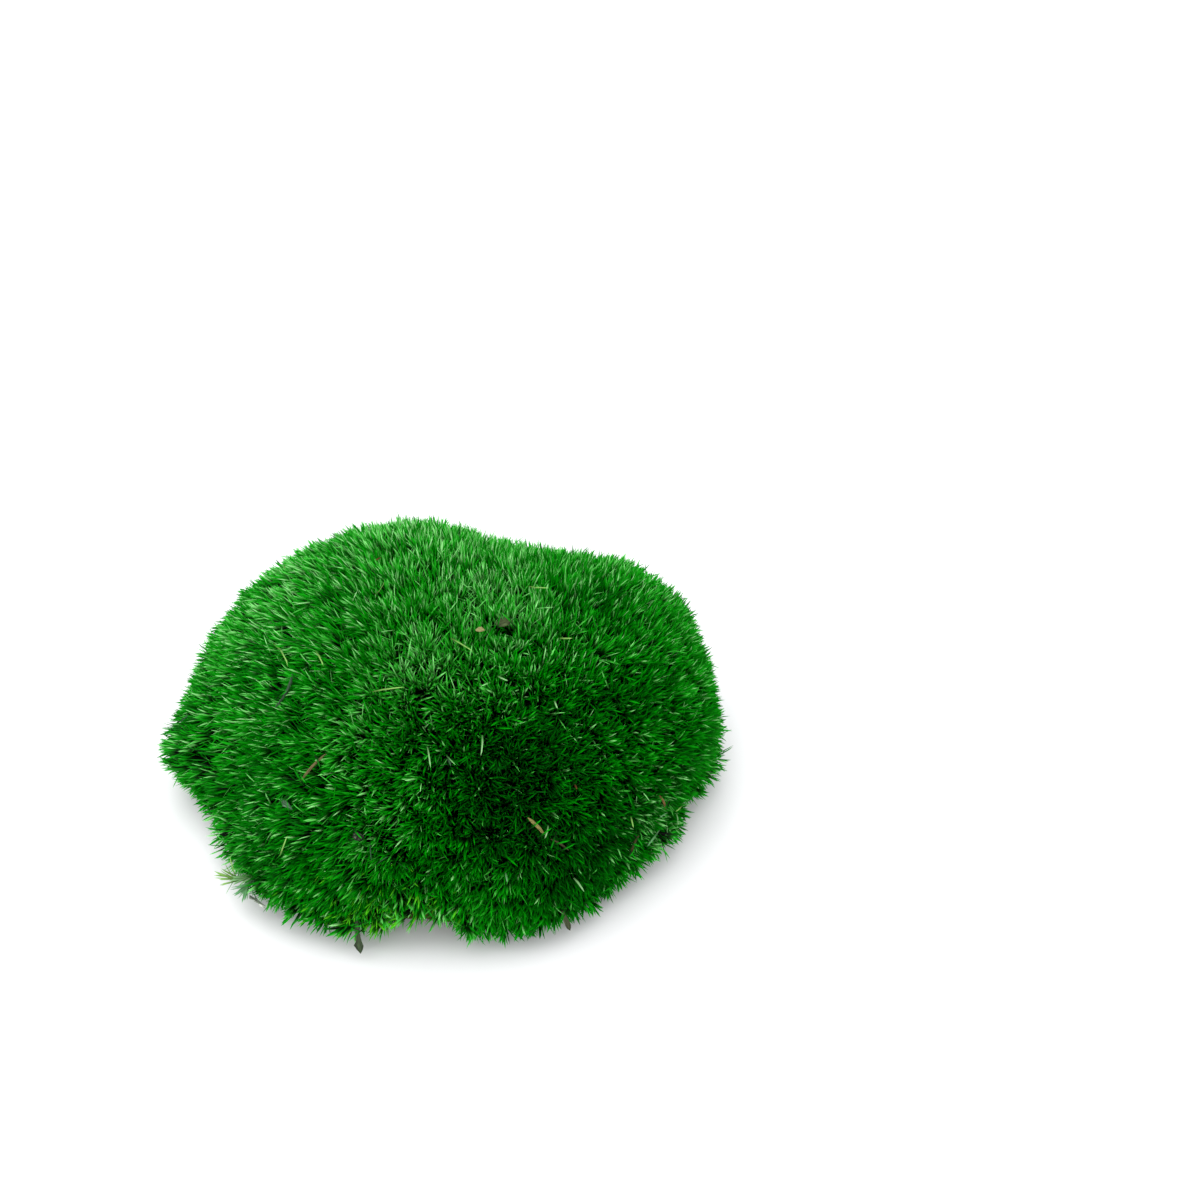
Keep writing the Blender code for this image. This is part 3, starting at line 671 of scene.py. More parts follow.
def grow_shoots(settings, random):
    """Where the shoots end and which way they point.

    A shoot's axis runs from the nearest point of the growth line to its tip.  Shoots of the
    fringe grow from the rim's level instead, and droop a little.  On the long left side the axes
    are pulled level, and each sweep leans the ones near it.  Each axis then leans by two ripples,
    so that neighbours lean together, and by a little of its own.
    """
    bearing, elevation = even_places(settings.spacing)
    count = len(bearing)
    astray = STRAY * settings.spacing / tip_distance(bearing, elevation)
    elevation = elevation + astray * random.normal(size=count)
    lowest = math.radians(LOWEST_ELEVATION)
    elevation = np.clip(elevation, lowest, math.pi / 2 - TOP_MARGIN)
    level = np.maximum(np.cos(elevation), LEAST_LEVEL)
    bearing = bearing + astray * random.normal(size=count) / level
    short = random.uniform(*UNEVEN_SPAN, count) * settings.uneven
    short -= PROUD * (random.random(count) < PROUD_SHARE)
    reach = tip_distance(bearing, elevation) - short
    tip = growth_point() + unit(bearing, elevation) * reach[:, None]

    degrees = np.degrees(elevation)
    beside = np.clip(tip[:, 0] - GROWTH_CENTRE[0], *GROWTH_ENDS)
    body = smooth_step(*FRINGE_ELEVATIONS, degrees)
    level = (np.interp(beside, GROWTH_ENDS, GROWTH_LEVELS) - RIM_HEIGHT) * body
    foot = growth_point() + np.stack([beside, np.zeros_like(beside), level], -1)
    left = smooth_step(*LEFT_REACH, GROWTH_CENTRE[0] - tip[:, 0])[:, None]
    axis = normalised((tip - foot) * (1 - LEFT_PULL * left * [0, 1, 1]))
    axis[:, 2] -= FRINGE_DROOP * (1 - body)
    direction = unit(bearing, elevation)
    slope = sum(sweep.slope * nearness(direction, sweep) for sweep in SWEEPS)
    axis += slope[:, None] * unit(bearing + math.pi / 2, np.zeros(count))
    straight = with_sides(tip, normalised(axis), bearing, elevation)

    amount = math.tan(settings.lean)
    lean_side, lean_other = (
        (ripple(tip, TUFT_RIPPLE, seed) + OWN_LEAN * random.normal(size=count))[:, None]
        for seed in LEAN_SEEDS
    )
    leant = lean_side * straight.side + lean_other * straight.other
    return with_sides(tip, normalised(straight.axis + amount * leant), bearing, elevation)


def loose_shoots():
    """The few shoots that stick out of the fringe, from LOOSE_SHOOTS."""
    bearing, reach, height, out, rise = np.array([shoot[:5] for shoot in LOOSE_SHOOTS]).T
    bearing, out, rise = np.radians([bearing, out, rise])
    level = np.zeros(len(reach))
    tip = growth_point(0) + unit(bearing, level) * reach[:, None]
    tip[:, 2] = height
    return with_sides(tip, unit(out, rise), bearing, level)


def fringe_shoots(random):
    """The tufts that hang out over the ground, at even bearings all round.

    A tip at a height h is on the dome where the elevation's sine is (h - rim height) / distance.
    The lower it is, the further its shoot points down.
    """
    count = FRINGE_SHOOTS
    bearing = (np.arange(count) + random.uniform(0, 1, count)) * 2 * math.pi / count
    share_up = random.uniform(0, 1, count)
    first, last, lift = BARE_FRINGE
    bare = (np.degrees(bearing) > first) & (np.degrees(bearing) < last)
    height = np.interp(share_up, (0, 1), FRINGE_HEIGHTS) + lift * bare
    drop = RIM_HEIGHT - height
    elevation = -np.arcsin(drop / rim_radius(bearing))
    elevation = -np.arcsin(drop / tip_distance(bearing, elevation))
    reach = tip_distance(bearing, elevation) + np.interp(share_up, (0, 1), FRINGE_REACH)
    reach += random.uniform(-FRINGE_ASTRAY, FRINGE_ASTRAY, count)
    tip = growth_point() + unit(bearing, elevation) * reach[:, None]
    tip[:, 2] = height
    dip = np.interp(share_up, (0, 1), FRINGE_DIPS) + random.normal(0, DIP_ASTRAY, count)
    astray = np.radians(random.normal(0, BEARING_ASTRAY, count))
    axis = unit(bearing + astray, -np.radians(dip))
    return with_sides(tip, axis, bearing, elevation)


# ---- The leaves --------------------------------------------------------------------------------

Leaves = namedtuple(
    "Leaves", "foot axis out around lean bend sickle roll length width tone start"
)


def leaves_of(shoots, count, lengths, settings, random, more_spread=0, wide=1):
    """The leaves of the tufts, one row for each leaf, shoot by shoot, without their tones.

    From the oldest leaf to the youngest, the lean falls from spread to closed, the length goes
    from the first of the lengths to the second, and the tip rises by TUFT_DEPTH to the shoot's.
    Each leaf is turned on from the last by the golden angle.  Some lean out far and cross their
    neighbours, and those have less painted shade at the foot.
    """
    shape = (len(shoots.tip), count)
    youth = np.broadcast_to((np.arange(count) + 0.5) / count, shape)
    spread = settings.spread + math.radians(more_spread)
    lean = spread + (settings.closed - spread) * youth**LEAN_CURVE
    lean = lean + np.radians(random.normal(0, LEAN_ASTRAY, shape))
    crossing = random.random(shape) < CROSSING_SHARE
    lean = lean + crossing * np.radians(random.uniform(*CROSSING_LEAN, shape))
    turn = random.uniform(0, 2 * math.pi, shape[0])[:, None] + np.arange(count) * GOLDEN_TURN
    turn = (turn + np.radians(random.normal(0, TURN_ASTRAY, shape))).ravel()[:, None]
    grown = lengths[0] + (lengths[1] - lengths[0]) * youth
    grown = grown * random.uniform(*LENGTH_SPAN, shape)
    tip_below = TUFT_DEPTH * (1 - youth) ** DEPTH_CURVE + random.normal(0, TIP_ASTRAY, shape)
    depth = tip_below + grown * np.cos(lean)

    axis, side, other, tip = (
        np.repeat(part, count, axis=0)
        for part in (shoots.axis, shoots.side, shoots.other, shoots.tip)
    )
    total = youth.size
    leaves = Leaves(
        foot=tip - axis * depth.ravel()[:, None],
        axis=axis,
        out=np.cos(turn) * side + np.sin(turn) * other,
        around=np.cos(turn) * other - np.sin(turn) * side,
        lean=lean.ravel(),
        bend=settings.recurve + np.radians(random.normal(0, BEND_ASTRAY, total)),
        sickle=random.normal(0, SICKLE, total),
        roll=np.radians(random.normal(0, ROLL_ASTRAY, total)),
        length=grown.ravel(),
        width=wide * settings.width * random.uniform(*WIDTH_SPAN, total)
        * np.where(crossing.ravel(), CROSSING_WIDTH, 1.0),
        tone=np.zeros(total),
        start=np.where(crossing.ravel(), CROSSING_START, LEAF_START),
    )
    return leaves, tip, youth.ravel()


def leaf_tones(tip, youth, settings, random):
    """Which tone each leaf has, 0 to 1.

    A living leaf's is the sum of two ripples, its patches of painted light and shade, its youth and
    a part of its own.  A few leaves are faded or lime instead, more of them in some patches.
    """
    count = len(tip)
    direction = normalised(tip - growth_point())
    near = [nearness(direction, patch) for patch in LIGHT_AND_SHADE_PATCHES]
    # The patches paint light and shade into the tones and into the shares of faded and lime leaves.
    shift, faded, lime = (
        sum(getattr(patch, field) * bell for patch, bell in zip(LIGHT_AND_SHADE_PATCHES, near))
        for field in ("tone", "faded", "lime")
    )
    faded = settings.faded + faded
    tone = USUAL_TONE + shift + ripples(tip, TONE_RIPPLES)
    tone = tone + YOUNG_TONE * (youth - 0.5) + random.normal(0, TONE_ASTRAY, count)
    tone = np.clip(tone, *LIVE_TONES)
    tone = np.where(random.random(count) < faded, random.uniform(*FADED_TONES, count), tone)
    return np.where(random.random(count) < lime, ODD_TONES["lime"], tone)


def leaf_mesh(leaves):
    """Points, quads, triangles and map of folded leaves, each a strip that ends in a point.

    The lean at a share s along a leaf is lean + bend (s - 1/2).  The midrib is the sum of steps
    at that lean, moved sideways by sickle s^2.  At each section the edges stand off the midrib by
    half the width there, turned by the roll and folded up by LEAF_FOLD.  No point is lower than
    GROUND_GAP, or MAT_GAP where the mat is.

    The map runs from the leaf's start at the foot to nearly 1 at the point, in its tone's strip.
    """
    along = np.array(LEAF_SECTIONS)

    def heading(s):
        tilt = (leaves.lean[:, None] + leaves.bend[:, None] * (s - 0.5))[..., None]
        axis, out = leaves.axis[:, None], leaves.out[:, None]
        return np.cos(tilt) * axis + np.sin(tilt) * out, np.sin(tilt) * axis - np.cos(tilt) * out

    steps = heading((along[1:] + along[:-1]) / 2)[0] * np.diff(along)[:, None]
    grown = np.concatenate([np.zeros_like(steps[:, :1]), np.cumsum(steps, axis=1)], axis=1)
    swing = (leaves.sickle[:, None] * along**2)[..., None] * leaves.around[:, None]
    midrib = leaves.foot[:, None] + (grown + swing) * leaves.length[:, None, None]

    upper = heading(along)[1]
    roll = leaves.roll[:, None, None]
    across = np.cos(roll) * leaves.around[:, None] + np.sin(roll) * upper
    upper = np.cos(roll) * upper - np.sin(roll) * leaves.around[:, None]
    half = (leaves.width[:, None] / 2 * np.array(LEAF_FULLNESS))[..., None]
    edge = half * math.cos(LEAF_FOLD) * across
    raised = half * math.sin(LEAF_FOLD) * upper
    sections = len(along) - 1
    rows = np.stack([midrib - edge + raised, midrib, midrib + edge + raised], axis=2)
    rows = rows[:, :sections].reshape(len(midrib), -1, 3)
    points = np.concatenate([rows, midrib[:, -1:]], axis=1)
    aside = points[..., :2] - GROWTH_CENTRE
    mat = (HUMUS_SHARE + SIDE_BULGE) * rim_radius(np.arctan2(aside[..., 1], aside[..., 0]))
    lowest = np.where(np.linalg.norm(aside, axis=-1) < mat, MAT_GAP, GROUND_GAP)
    points[..., 2] = np.maximum(points[..., 2], lowest)

    last = 3 * (sections - 1)
    corner = np.array([3 * section + side for section in range(sections - 1) for side in (0, 1)])
    quad = corner[:, None] + [0, 1, 4, 3]
    triangle = np.array([[last + side, last + side + 1, last + 3] for side in (0, 1)])
    first_point = (np.arange(len(points)) * points.shape[1])[:, None, None]

    low, high = TONE_STRIP
    strip = np.floor(leaves.tone * TONES)
    map_u = (strip[:, None] + np.append(np.tile([low, 0.5, high], sections), 0.5)) / TONES
    start = leaves.start[:, None]
    map_v = start + (MAP_TOP - start) * np.append(np.repeat(along[:sections], 3), 1.0)
    places = np.stack([map_u, map_v], -1)
    map_places = [places[:, quad].reshape(-1, 2), places[:, triangle].reshape(-1, 2)]
    return (
        points.reshape(-1, 3), first_point + quad, first_point + triangle,
        np.concatenate(map_places),
    )


def lying_leaves(foot, axis, outward, grown, wide, tone, random):
    """Leaves that lie along their axes on the tufts, a little bent, with their backs outward."""
    count = len(foot)
    return Leaves(
        foot=foot,
        axis=axis,
        out=outward,
        around=normalised(np.cross(outward, axis)),
        lean=np.zeros(count),
        bend=np.radians(random.normal(0, LYING_BEND, count)),
        sickle=random.normal(0, LYING_SICKLE, count),
        roll=np.radians(random.normal(180, LYING_ROLL, count)),
        length=grown,
        width=wide,
        tone=tone,
        start=np.full(count, LYING_START),
    )


def cover_leaves(random):
    """The green leaves that cross over the litter, from the shares of its length in COVERED.

    Each starts beside and below its piece and passes just above it half way along the leaf.
    """
    feet, axes, outwards = [], [], []
    for piece in (*LITTER, *HANGINGS):
        place = litter_place(piece)
        top = piece.thickness / 2 + getattr(piece, "curl", 0) + COVER_GAP
        for s in COVERED.get(piece.name, ()):
            turn = math.radians(random.normal(0, COVER_TURN)) + math.pi * (random.random() < 0.5)
            over = math.cos(turn) * place.across + math.sin(turn) * place.along
            crossed = place.middle + place.along * s * piece.length + place.outward * top
            foot = crossed - over * COVER_LENGTH / 2 - place.outward * (top + COVER_GAP)
            feet.append(foot)
            axes.append(normalised(crossed - foot))
            outwards.append(place.outward)
    count = len(feet)
    grown = COVER_LENGTH * random.uniform(*COVER_SPAN, count)
    wide = np.full(count, COVER_WIDTH)
    tone = random.uniform(*COVER_TONES, count)
    leaves = lying_leaves(*map(np.array, (feet, axes, outwards)), grown, wide, tone, random)
    return leaves._replace(start=np.full(count, COVER_START))


def picked(leaves, chosen):
    """Only the chosen leaves."""
    return Leaves(*(part[chosen] for part in leaves))


def joined(parts):
    """The leaves of all the parts, one after the other."""
    return Leaves(*(np.concatenate(rows) for rows in zip(*parts)))


def leaf_headings(leaves):
    """The direction that each leaf leans in, bends left out."""
    lean = leaves.lean[:, None]
    return np.cos(lean) * leaves.axis + np.sin(lean) * leaves.out


def within_dome(leaves, proudest):
    """True for the leaves that stand out of the dome by this much at most.

    Those that end lower than BARE_FRINGE's height between its bearings are left out too.
    """
    end = leaves.foot + leaf_headings(leaves) * leaves.length[:, None] - growth_point()
    distance = np.linalg.norm(end, axis=-1)
    bearing, elevation = np.arctan2(end[:, 1], end[:, 0]), np.arcsin(end[:, 2] / distance)
    first, last, height = BARE_FRINGE
    degrees = np.degrees(bearing) % 360
    bare = (degrees > first) & (degrees < last) & (end[:, 2] < height - RIM_HEIGHT)
    return (distance < tip_distance(bearing, elevation) + proudest) & ~bare


def clear_of_litter(leaves):
    """True for the leaves that don't run through a piece of litter, or in front of a bare one."""
    clear = np.ones(len(leaves.foot), bool)
    reach = leaf_headings(leaves)
    for piece in (*LITTER, *HANGINGS):
        place = litter_place(piece)
        thick = piece.thickness / 2 + getattr(piece, "curl", 0) + CLEAR_ABOVE
        ahead = normalised(place.outward + np.array([0, 0, 1.0]))
        for s in CLEAR_SHARES:
            offset = leaves.foot + reach * (s * leaves.length)[:, None] - place.middle
            forward = np.clip(offset @ ahead, 0, BARED.get(piece.name, 0))
            offset = offset - forward[:, None] * ahead
            through = (
                (np.abs(offset @ place.along) < piece.length * CLEAR_LENGTH)
                & (np.abs(offset @ place.across) < piece.width / 2 + CLEAR_BESIDE)
                & (np.abs(offset @ place.outward) < thick)
            )
            clear &= ~through
    return clear


def zone_of(bearing, elevation):
    """The index in ZONES of each place."""
    degrees = np.degrees(bearing)
    zone = np.zeros(len(bearing), int)
    for index, (_, span) in enumerate(ZONES[1:], 1):
        zone[(degrees - span[0]) % 360 < span[1] - span[0]] = index
    zone[np.degrees(elevation) > 90 - CROWN_EDGE] = 0
    return zone


# ---- The litter --------------------------------------------------------------------------------

Place = namedtuple("Place", "middle along across outward")


def surface_place(piece, lift):
    """Where a thing lies on the dome: along its turn, with outward square to the surface."""
    step = 0.5
    uphill = tip_place(piece.bearing, piece.elevation + step)
    uphill = normalised(uphill - tip_place(piece.bearing, piece.elevation - step))
    around = tip_place(piece.bearing + step, piece.elevation)
    around = around - tip_place(piece.bearing - step, piece.elevation)
    outward = normalised(np.cross(around, uphill))
    turn = math.radians(piece.turn)
    along = uphill * math.cos(turn) + np.cross(uphill, outward) * math.sin(turn)
    middle = tip_place(piece.bearing, piece.elevation) + outward * lift
    return Place(middle, along, normalised(np.cross(outward, along)), outward)


def litter_place(piece):
    """Where a piece of litter lies in the leaves, or hangs down from the fringe."""
    if hasattr(piece, "lift"):
        return surface_place(piece, piece.lift)
    upright = np.array([0.0, 0.0, 1.0])
    level = unit(math.radians(piece.bearing), 0.0)
    lean, turn = math.radians(piece.lean), math.radians(piece.turn)
    down = level * math.sin(lean) - upright * math.cos(lean)
    along = down * math.cos(turn) + np.cross(upright, level) * math.sin(turn)
    outward = level * math.cos(lean) + upright * math.sin(lean)
    middle = growth_point(piece.height) + level * piece.reach
    return Place(middle, along, np.cross(outward, along), outward)


def carried_ring(piece):
    """Points, quads, triangles and map of a ring carried along a piece, closed by end points.

    At a share s along it, the ring is cos(turn) times the half width across and sin(turn) times
    the half thickness outward, both times the kind's profile at s.  It is moved across by
    bend (4s(1-s) - 1/2), and outward by the curl times the square of its offset across.
    Ripples make it uneven.
    """
    s = np.linspace(0, 1, RING_COUNT)
    profile = PROFILES[piece.kind]
    share_wide = np.interp(s, np.linspace(0, 1, len(profile)), profile)
    turn = np.linspace(0, 2 * math.pi, RING_SIDES, endpoint=False)
    bow = getattr(piece, "bend", 0) * (4 * s * (1 - s) - 0.5)
    offset = share_wide[:, None] * np.cos(turn)
    across = bow[:, None] + piece.width / 2 * offset
    raised = piece.thickness / 2 * share_wide[:, None] * np.sin(turn)
    outward = raised + getattr(piece, "curl", piece.width * LEAF_CURL) * offset**2
    along = np.broadcast_to(((s - 0.5) * piece.length)[:, None], across.shape)

    place = litter_place(piece)
    middle_line = np.stack([(s - 0.5) * piece.length, bow, np.zeros_like(s)], -1)
    local = np.stack([along, across, outward], -1)
    layers = [(strength, piece.width * wave, seed) for strength, wave, seed in RING_RIPPLES]
    rough = ROUGHNESS[piece.kind] * ripples(local, layers)
    local = middle_line[:, None] + (local - middle_line[:, None]) * (1 + rough)[..., None]
    past = RING_END * piece.length
    ends = middle_line[[0, -1]] + [[-past, 0, 0], [past, 0, 0]]
    local = np.concatenate([local.reshape(-1, 3), ends])
    points = place.middle + local @ np.stack([place.along, place.across, place.outward])

    index, following = ring_grid(RING_COUNT, RING_SIDES)
    quads = np.stack([index[:-1], index[1:], following[1:], following[:-1]], -1)
    foot = closing(index[0], following[0], len(points) - 2)
    head = closing(following[-1], index[-1], len(points) - 1)

    u = np.arange(RING_SIDES + 1) / RING_SIDES
    v = MAP_ENDS[0] + MAP_ENDS[1] * s
    corner = np.stack(np.meshgrid(v, u, indexing="ij")[::-1], -1)
    map_quads = np.stack([corner[:-1, :-1], corner[1:, :-1], corner[1:, 1:], corner[:-1, 1:]], 2)
    middle_u = (u[1:] + u[:-1]) / 2
    map_foot = np.stack([corner[0, :-1], corner[0, 1:], np.stack([middle_u, 0 * middle_u], -1)], 1)
    tips = np.stack([middle_u, 0 * middle_u + 1], -1)
    map_head = np.stack([corner[-1, 1:], corner[-1, :-1], tips], 1)
    map_places = [part.reshape(-1, 2) for part in (map_quads, map_foot, map_head)]
    return points, quads, np.concatenate([foot, head]), np.concatenate(map_places)


# ---- Materials ---------------------------------------------------------------------------------

STEM_GRAIN = 900.0  # scales of the noise textures: over the old stems, in lumps a metre
SOIL_GRAIN, FIBRE_GRAIN = 260.0, 1500.0  # of the humus
FIBRE_STRETCH = (1.0, 1.0, 0.25)  # its fibres stand upright
STREAK_GRAIN, BLOTCH_GRAIN = 2.0, 3.4  # of the litter, over its map
STREAK_LENGTH = 1.6  # how often its streaks change along a piece
HUMUS_BUMP, LITTER_BUMP = (0.6, 0.0004), (0.5, 0.0001)  # strength and height


def add_node(tree, kind, inputs=None, **settings):
    """A node with these settings, its inputs linked to a socket or set to a value."""
    made = tree.nodes.new(kind)
    for name, value in settings.items():
        setattr(made, name, value)
    for socket, value in (inputs or {}).items():
        if isinstance(value, bpy.types.NodeSocket):
            tree.links.new(value, made.inputs[socket])
        else:
            made.inputs[socket].default_value = value
    return made


def maths(tree, operation, first, second=0.0):
    """The result of a Math node."""
    return add_node(tree, "ShaderNodeMath", {0: first, 1: second}, operation=operation).outputs[0]


def ramp(tree, factor, stops):
    """The colour of a ramp with stops of position and colour, or position and grey."""
    made = add_node(tree, "ShaderNodeValToRGB", {"Fac": factor})
    elements = made.color_ramp.elements
    while len(elements) < len(stops):
        elements.new(0.5)
    for element, (position, value) in zip(elements, stops):
        element.position = position
        element.color = (*value, 1) if hasattr(value, "__len__") else (value, value, value, 1)
    return made.outputs["Color"]


def mixed(tree, factor, low, high, blend="MIX"):
    """The colour between two, or of one worked on the other by a blend."""
    made = add_node(tree, "ShaderNodeMix", data_type="RGBA", blend_type=blend)
    for index, value in ((0, factor), (6, low), (7, high)):
        if isinstance(value, bpy.types.NodeSocket):
            tree.links.new(value, made.inputs[index])
        else:
            made.inputs[index].default_value = value if index == 0 else (*value, 1)
    return made.outputs[2]


def new_material(name, roughness, specular):
    """A material with its node tree and its shader."""
    made = bpy.data.materials.new(name)
    made.use_nodes = True
    shader = made.node_tree.nodes["Principled BSDF"]
    shader.inputs["Roughness"].default_value = roughness
    shader.inputs["Specular IOR Level"].default_value = specular
    return made, made.node_tree, shader


def noise(tree, place, scale, detail=2.0):
    """The grey of a noise texture at a place."""
    inputs = {"Vector": place, "Scale": scale, "Detail": detail}
    return add_node(tree, "ShaderNodeTexNoise", inputs).outputs["Fac"]


def bumped(tree, shader, height, strength, distance):
    """Lets a height tilt the shader's normal."""
    inputs = {"Height": height, "Strength": strength, "Distance": distance}
    bump = add_node(tree, "ShaderNodeBump", inputs)
    tree.links.new(bump.outputs["Normal"], shader.inputs["Normal"])


def leaf_material(s):
    """Moss leaf: its strip of the map gives the tone, with painted shade at the foot and a painted
    highlight near the tip.
    """
    made, tree, shader = new_material("moss_leaf", 0.48, 0.06)
    uv = add_node(tree, "ShaderNodeUVMap", uv_map=MAP_NAME).outputs["UV"]
    apart = add_node(tree, "ShaderNodeSeparateXYZ", {0: uv})
    strips = maths(tree, "MULTIPLY", apart.outputs["X"], TONES)
    tone = maths(tree, "DIVIDE", maths(tree, "ADD", maths(tree, "FLOOR", strips), 0.5), TONES)
    across = maths(tree, "FRACT", strips)
    along = apart.outputs["Y"]

    odd = {"lime": s.lime, **{name: linear(seen) for name, seen in ODD_COLOURS.items()}}
    stops = [
        (0.00, s.deep), (0.24, s.green), (0.46, s.fresh), (0.66, s.faint), (0.80, s.pale),
        (0.825, s.pale),
    ]
    for name, middle in ODD_TONES.items():
        stops.append((middle - ODD_HALF, odd[name]))
        stops.append((min(middle + ODD_HALF, 1.0), odd[name]))
    own = ramp(tree, tone, stops)
    # Painted shade darkens each leaf towards its foot, and a painted highlight brightens its tip.
    shade = ramp(tree, along, LEAF_PAINTED_SHADE)
    side = maths(tree, "ABSOLUTE", maths(tree, "SUBTRACT", across, 0.5))
    # Darker along the midrib and paler at the margins: partly the leaf's own margin, partly a
    # painted highlight.
    edge = ramp(tree, side, LEAF_MARGIN_AND_HIGHLIGHT)
    shaded = mixed(tree, 1.0, own, shade, "MULTIPLY")
    shaded = mixed(tree, 1.0, shaded, edge, "MULTIPLY")
    tree.links.new(shaded, shader.inputs["Base Color"])
    return made


def stem_material(s):
    """Old stems: dark, partly their own colour and partly painted shade in the gaps between the
    tufts, with green and brown among them.
    """
    made, tree, shader = new_material("old_stems", 0.95, 0.05)
    place = add_node(tree, "ShaderNodeTexCoord").outputs["Object"]
    colours = [(0.35, s.stem_dark_and_shade), (0.55, s.stem_green), (0.75, s.stem_brown)]
    own = ramp(tree, noise(tree, place, STEM_GRAIN), colours)
    tree.links.new(own, shader.inputs["Base Color"])
    return made


def humus_material(s):
    """Humus: dark soil and brown fibres, with a few pale roots, matt and crumbly."""
    made, tree, shader = new_material("humus", 0.95, 0.10)
    place = add_node(tree, "ShaderNodeTexCoord").outputs["Object"]
    coarse = noise(tree, place, SOIL_GRAIN, 4.0)
    stretched = add_node(tree, "ShaderNodeMapping", {"Vector": place, "Scale": FIBRE_STRETCH})
    fine = noise(tree, stretched.outputs[0], FIBRE_GRAIN, 3.0)
    own = ramp(tree, coarse, [(0.30, s.soil), (0.62, s.fibre)])
    threads = ramp(tree, fine, [(0.58, 0.0), (0.70, 1.0)])
    own = mixed(tree, threads, own, tuple(s.thread))
    tree.links.new(own, shader.inputs["Base Color"])
    bumped(tree, shader, maths(tree, "ADD", coarse, fine), *HUMUS_BUMP)
    return made


def litter_material(name, base, dark, light, fibres, roughness):
    """Dead plant matter: streaks along the piece and dark and light patches over it.

    The fibres are how many streaks go round the piece.
    """
    made, tree, shader = new_material(name, roughness, 0.25)
    uv = add_node(tree, "ShaderNodeUVMap", uv_map=MAP_NAME).outputs["UV"]
    stretch = (fibres, STREAK_LENGTH, 1.0)
    streaked = add_node(tree, "ShaderNodeMapping", {"Vector": uv, "Scale": stretch})
    streaks = noise(tree, streaked.outputs[0], STREAK_GRAIN, 3.0)
    patches = noise(tree, uv, BLOTCH_GRAIN, 2.0)
    own = ramp(tree, streaks, [(0.34, linear(dark)), (0.52, linear(base)), (0.70, linear(light))])
    own = mixed(tree, ramp(tree, patches, [(0.52, 0.0), (0.66, 0.85)]), own, linear(dark))
    tree.links.new(own, shader.inputs["Base Color"])
    bumped(tree, shader, streaks, *LITTER_BUMP)
    return made


LITTER_FINISHES = {  # as seen: base, dark and light; streaks round the piece; roughness
    "needle_brown": ((88, 78, 42), (38, 40, 14), (134, 124, 82), 7, 0.75),
    "needle_dull": ((50, 52, 20), (14, 28, 6), (88, 82, 40), 7, 0.80),
    "needle_tan": ((120, 110, 56), (32, 56, 16), (152, 140, 86), 7, 0.75),
    "needle_orange": ((106, 76, 34), (50, 40, 14), (128, 108, 62), 6, 0.75),
    "twig_brown": ((58, 58, 22), (16, 28, 8), (98, 90, 44), 9, 0.85),
    "twig_grey": ((38, 66, 42), (12, 28, 14), (62, 92, 62), 9, 0.85),
    "scale_tan": ((122, 120, 74), (96, 88, 50), (140, 140, 94), 12, 0.75),
    "leaf_brown": ((54, 68, 32), (28, 34, 12), (74, 92, 50), 14, 0.85),
    "flake_grey": ((52, 86, 56), (18, 46, 24), (96, 128, 100), 12, 0.80),
    "bark_pale": ((180, 190, 174), (66, 78, 62), (222, 228, 218), 12, 0.75),
    "crumb_dark": ((24, 36, 20), (3, 8, 3), (84, 104, 76), 5, 0.95),
    "leaf_green_grey": ((42, 58, 32), (18, 30, 14), (66, 86, 50), 12, 0.65),
    "leaf_olive": ((52, 60, 32), (28, 34, 16), (74, 80, 48), 12, 0.65),
}


# ---- Operators ---------------------------------------------------------------------------------


def leaf_piece(name, leaves, material):
    """A piece of the moss, made of these leaves."""
    points, quads, triangles, places = leaf_mesh(leaves)
    return riding(mesh_piece(name, points, quads, triangles, material, places, False), "moss_green")


class MOSS_OT_leaves(bpy.types.Operator):
    """Grow the leaf tufts of all the shoots"""

    bl_idname = "moss.leaves"
    bl_label = "Grow Leaves"

    def execute(self, context):
        settings = context.scene.moss_leaf
        random = np.random.default_rng(SHOOT_SEED)
        shoots = grow_shoots(settings, random)
        count = settings.leaves
        lengths = (settings.longest, settings.shortest)
        leaves, tip, youth = leaves_of(shoots, count, lengths, settings, random)
        direction = normalised(tip - growth_point())
        fine = nearness(direction, FINE_LEAVES)
        leaves = leaves._replace(
            tone=leaf_tones(tip, youth, settings, random),
            width=leaves.width * (1 - FINE_LEAVES.share * fine),
            start=leaves.start + FINE_LEAVES.start * fine,
        )
        zone = np.repeat(zone_of(shoots.bearing, shoots.elevation), count)
        zone[~(clear_of_litter(leaves) & within_dome(leaves, PROUDEST))] = len(ZONES)
        material = leaf_material(settings)
        for index, (name, _) in enumerate(ZONES):
            leaf_piece(name, picked(leaves, zone == index), material)
        return {"FINISHED"}


class MOSS_OT_fringe(bpy.types.Operator):
    """Hang the tufts of the fringe out over the ground"""

    bl_idname = "moss.fringe"
    bl_label = "Hang Fringe"

    def execute(self, context):
        settings = context.scene.moss_leaf
        random = np.random.default_rng(SHOOT_SEED + 2)
        leaves, tip, youth = leaves_of(
            fringe_shoots(random), FRINGE_LEAVES, FRINGE_LENGTHS, settings, random,
            FRINGE_SPREAD, FRINGE_WIDE,
        )
        tone = leaf_tones(tip, youth, settings, random)
        tone = np.where(tone < LIVE_TONES[1] - FRINGE_TONE, tone + FRINGE_TONE, tone)
        leaves = leaves._replace(tone=tone)
        kept = clear_of_litter(leaves) & within_dome(leaves, FRINGE_PROUDEST)
        leaf_piece("fringe_leaves", picked(leaves, kept), bpy.data.materials["moss_leaf"])
        return {"FINISHED"}


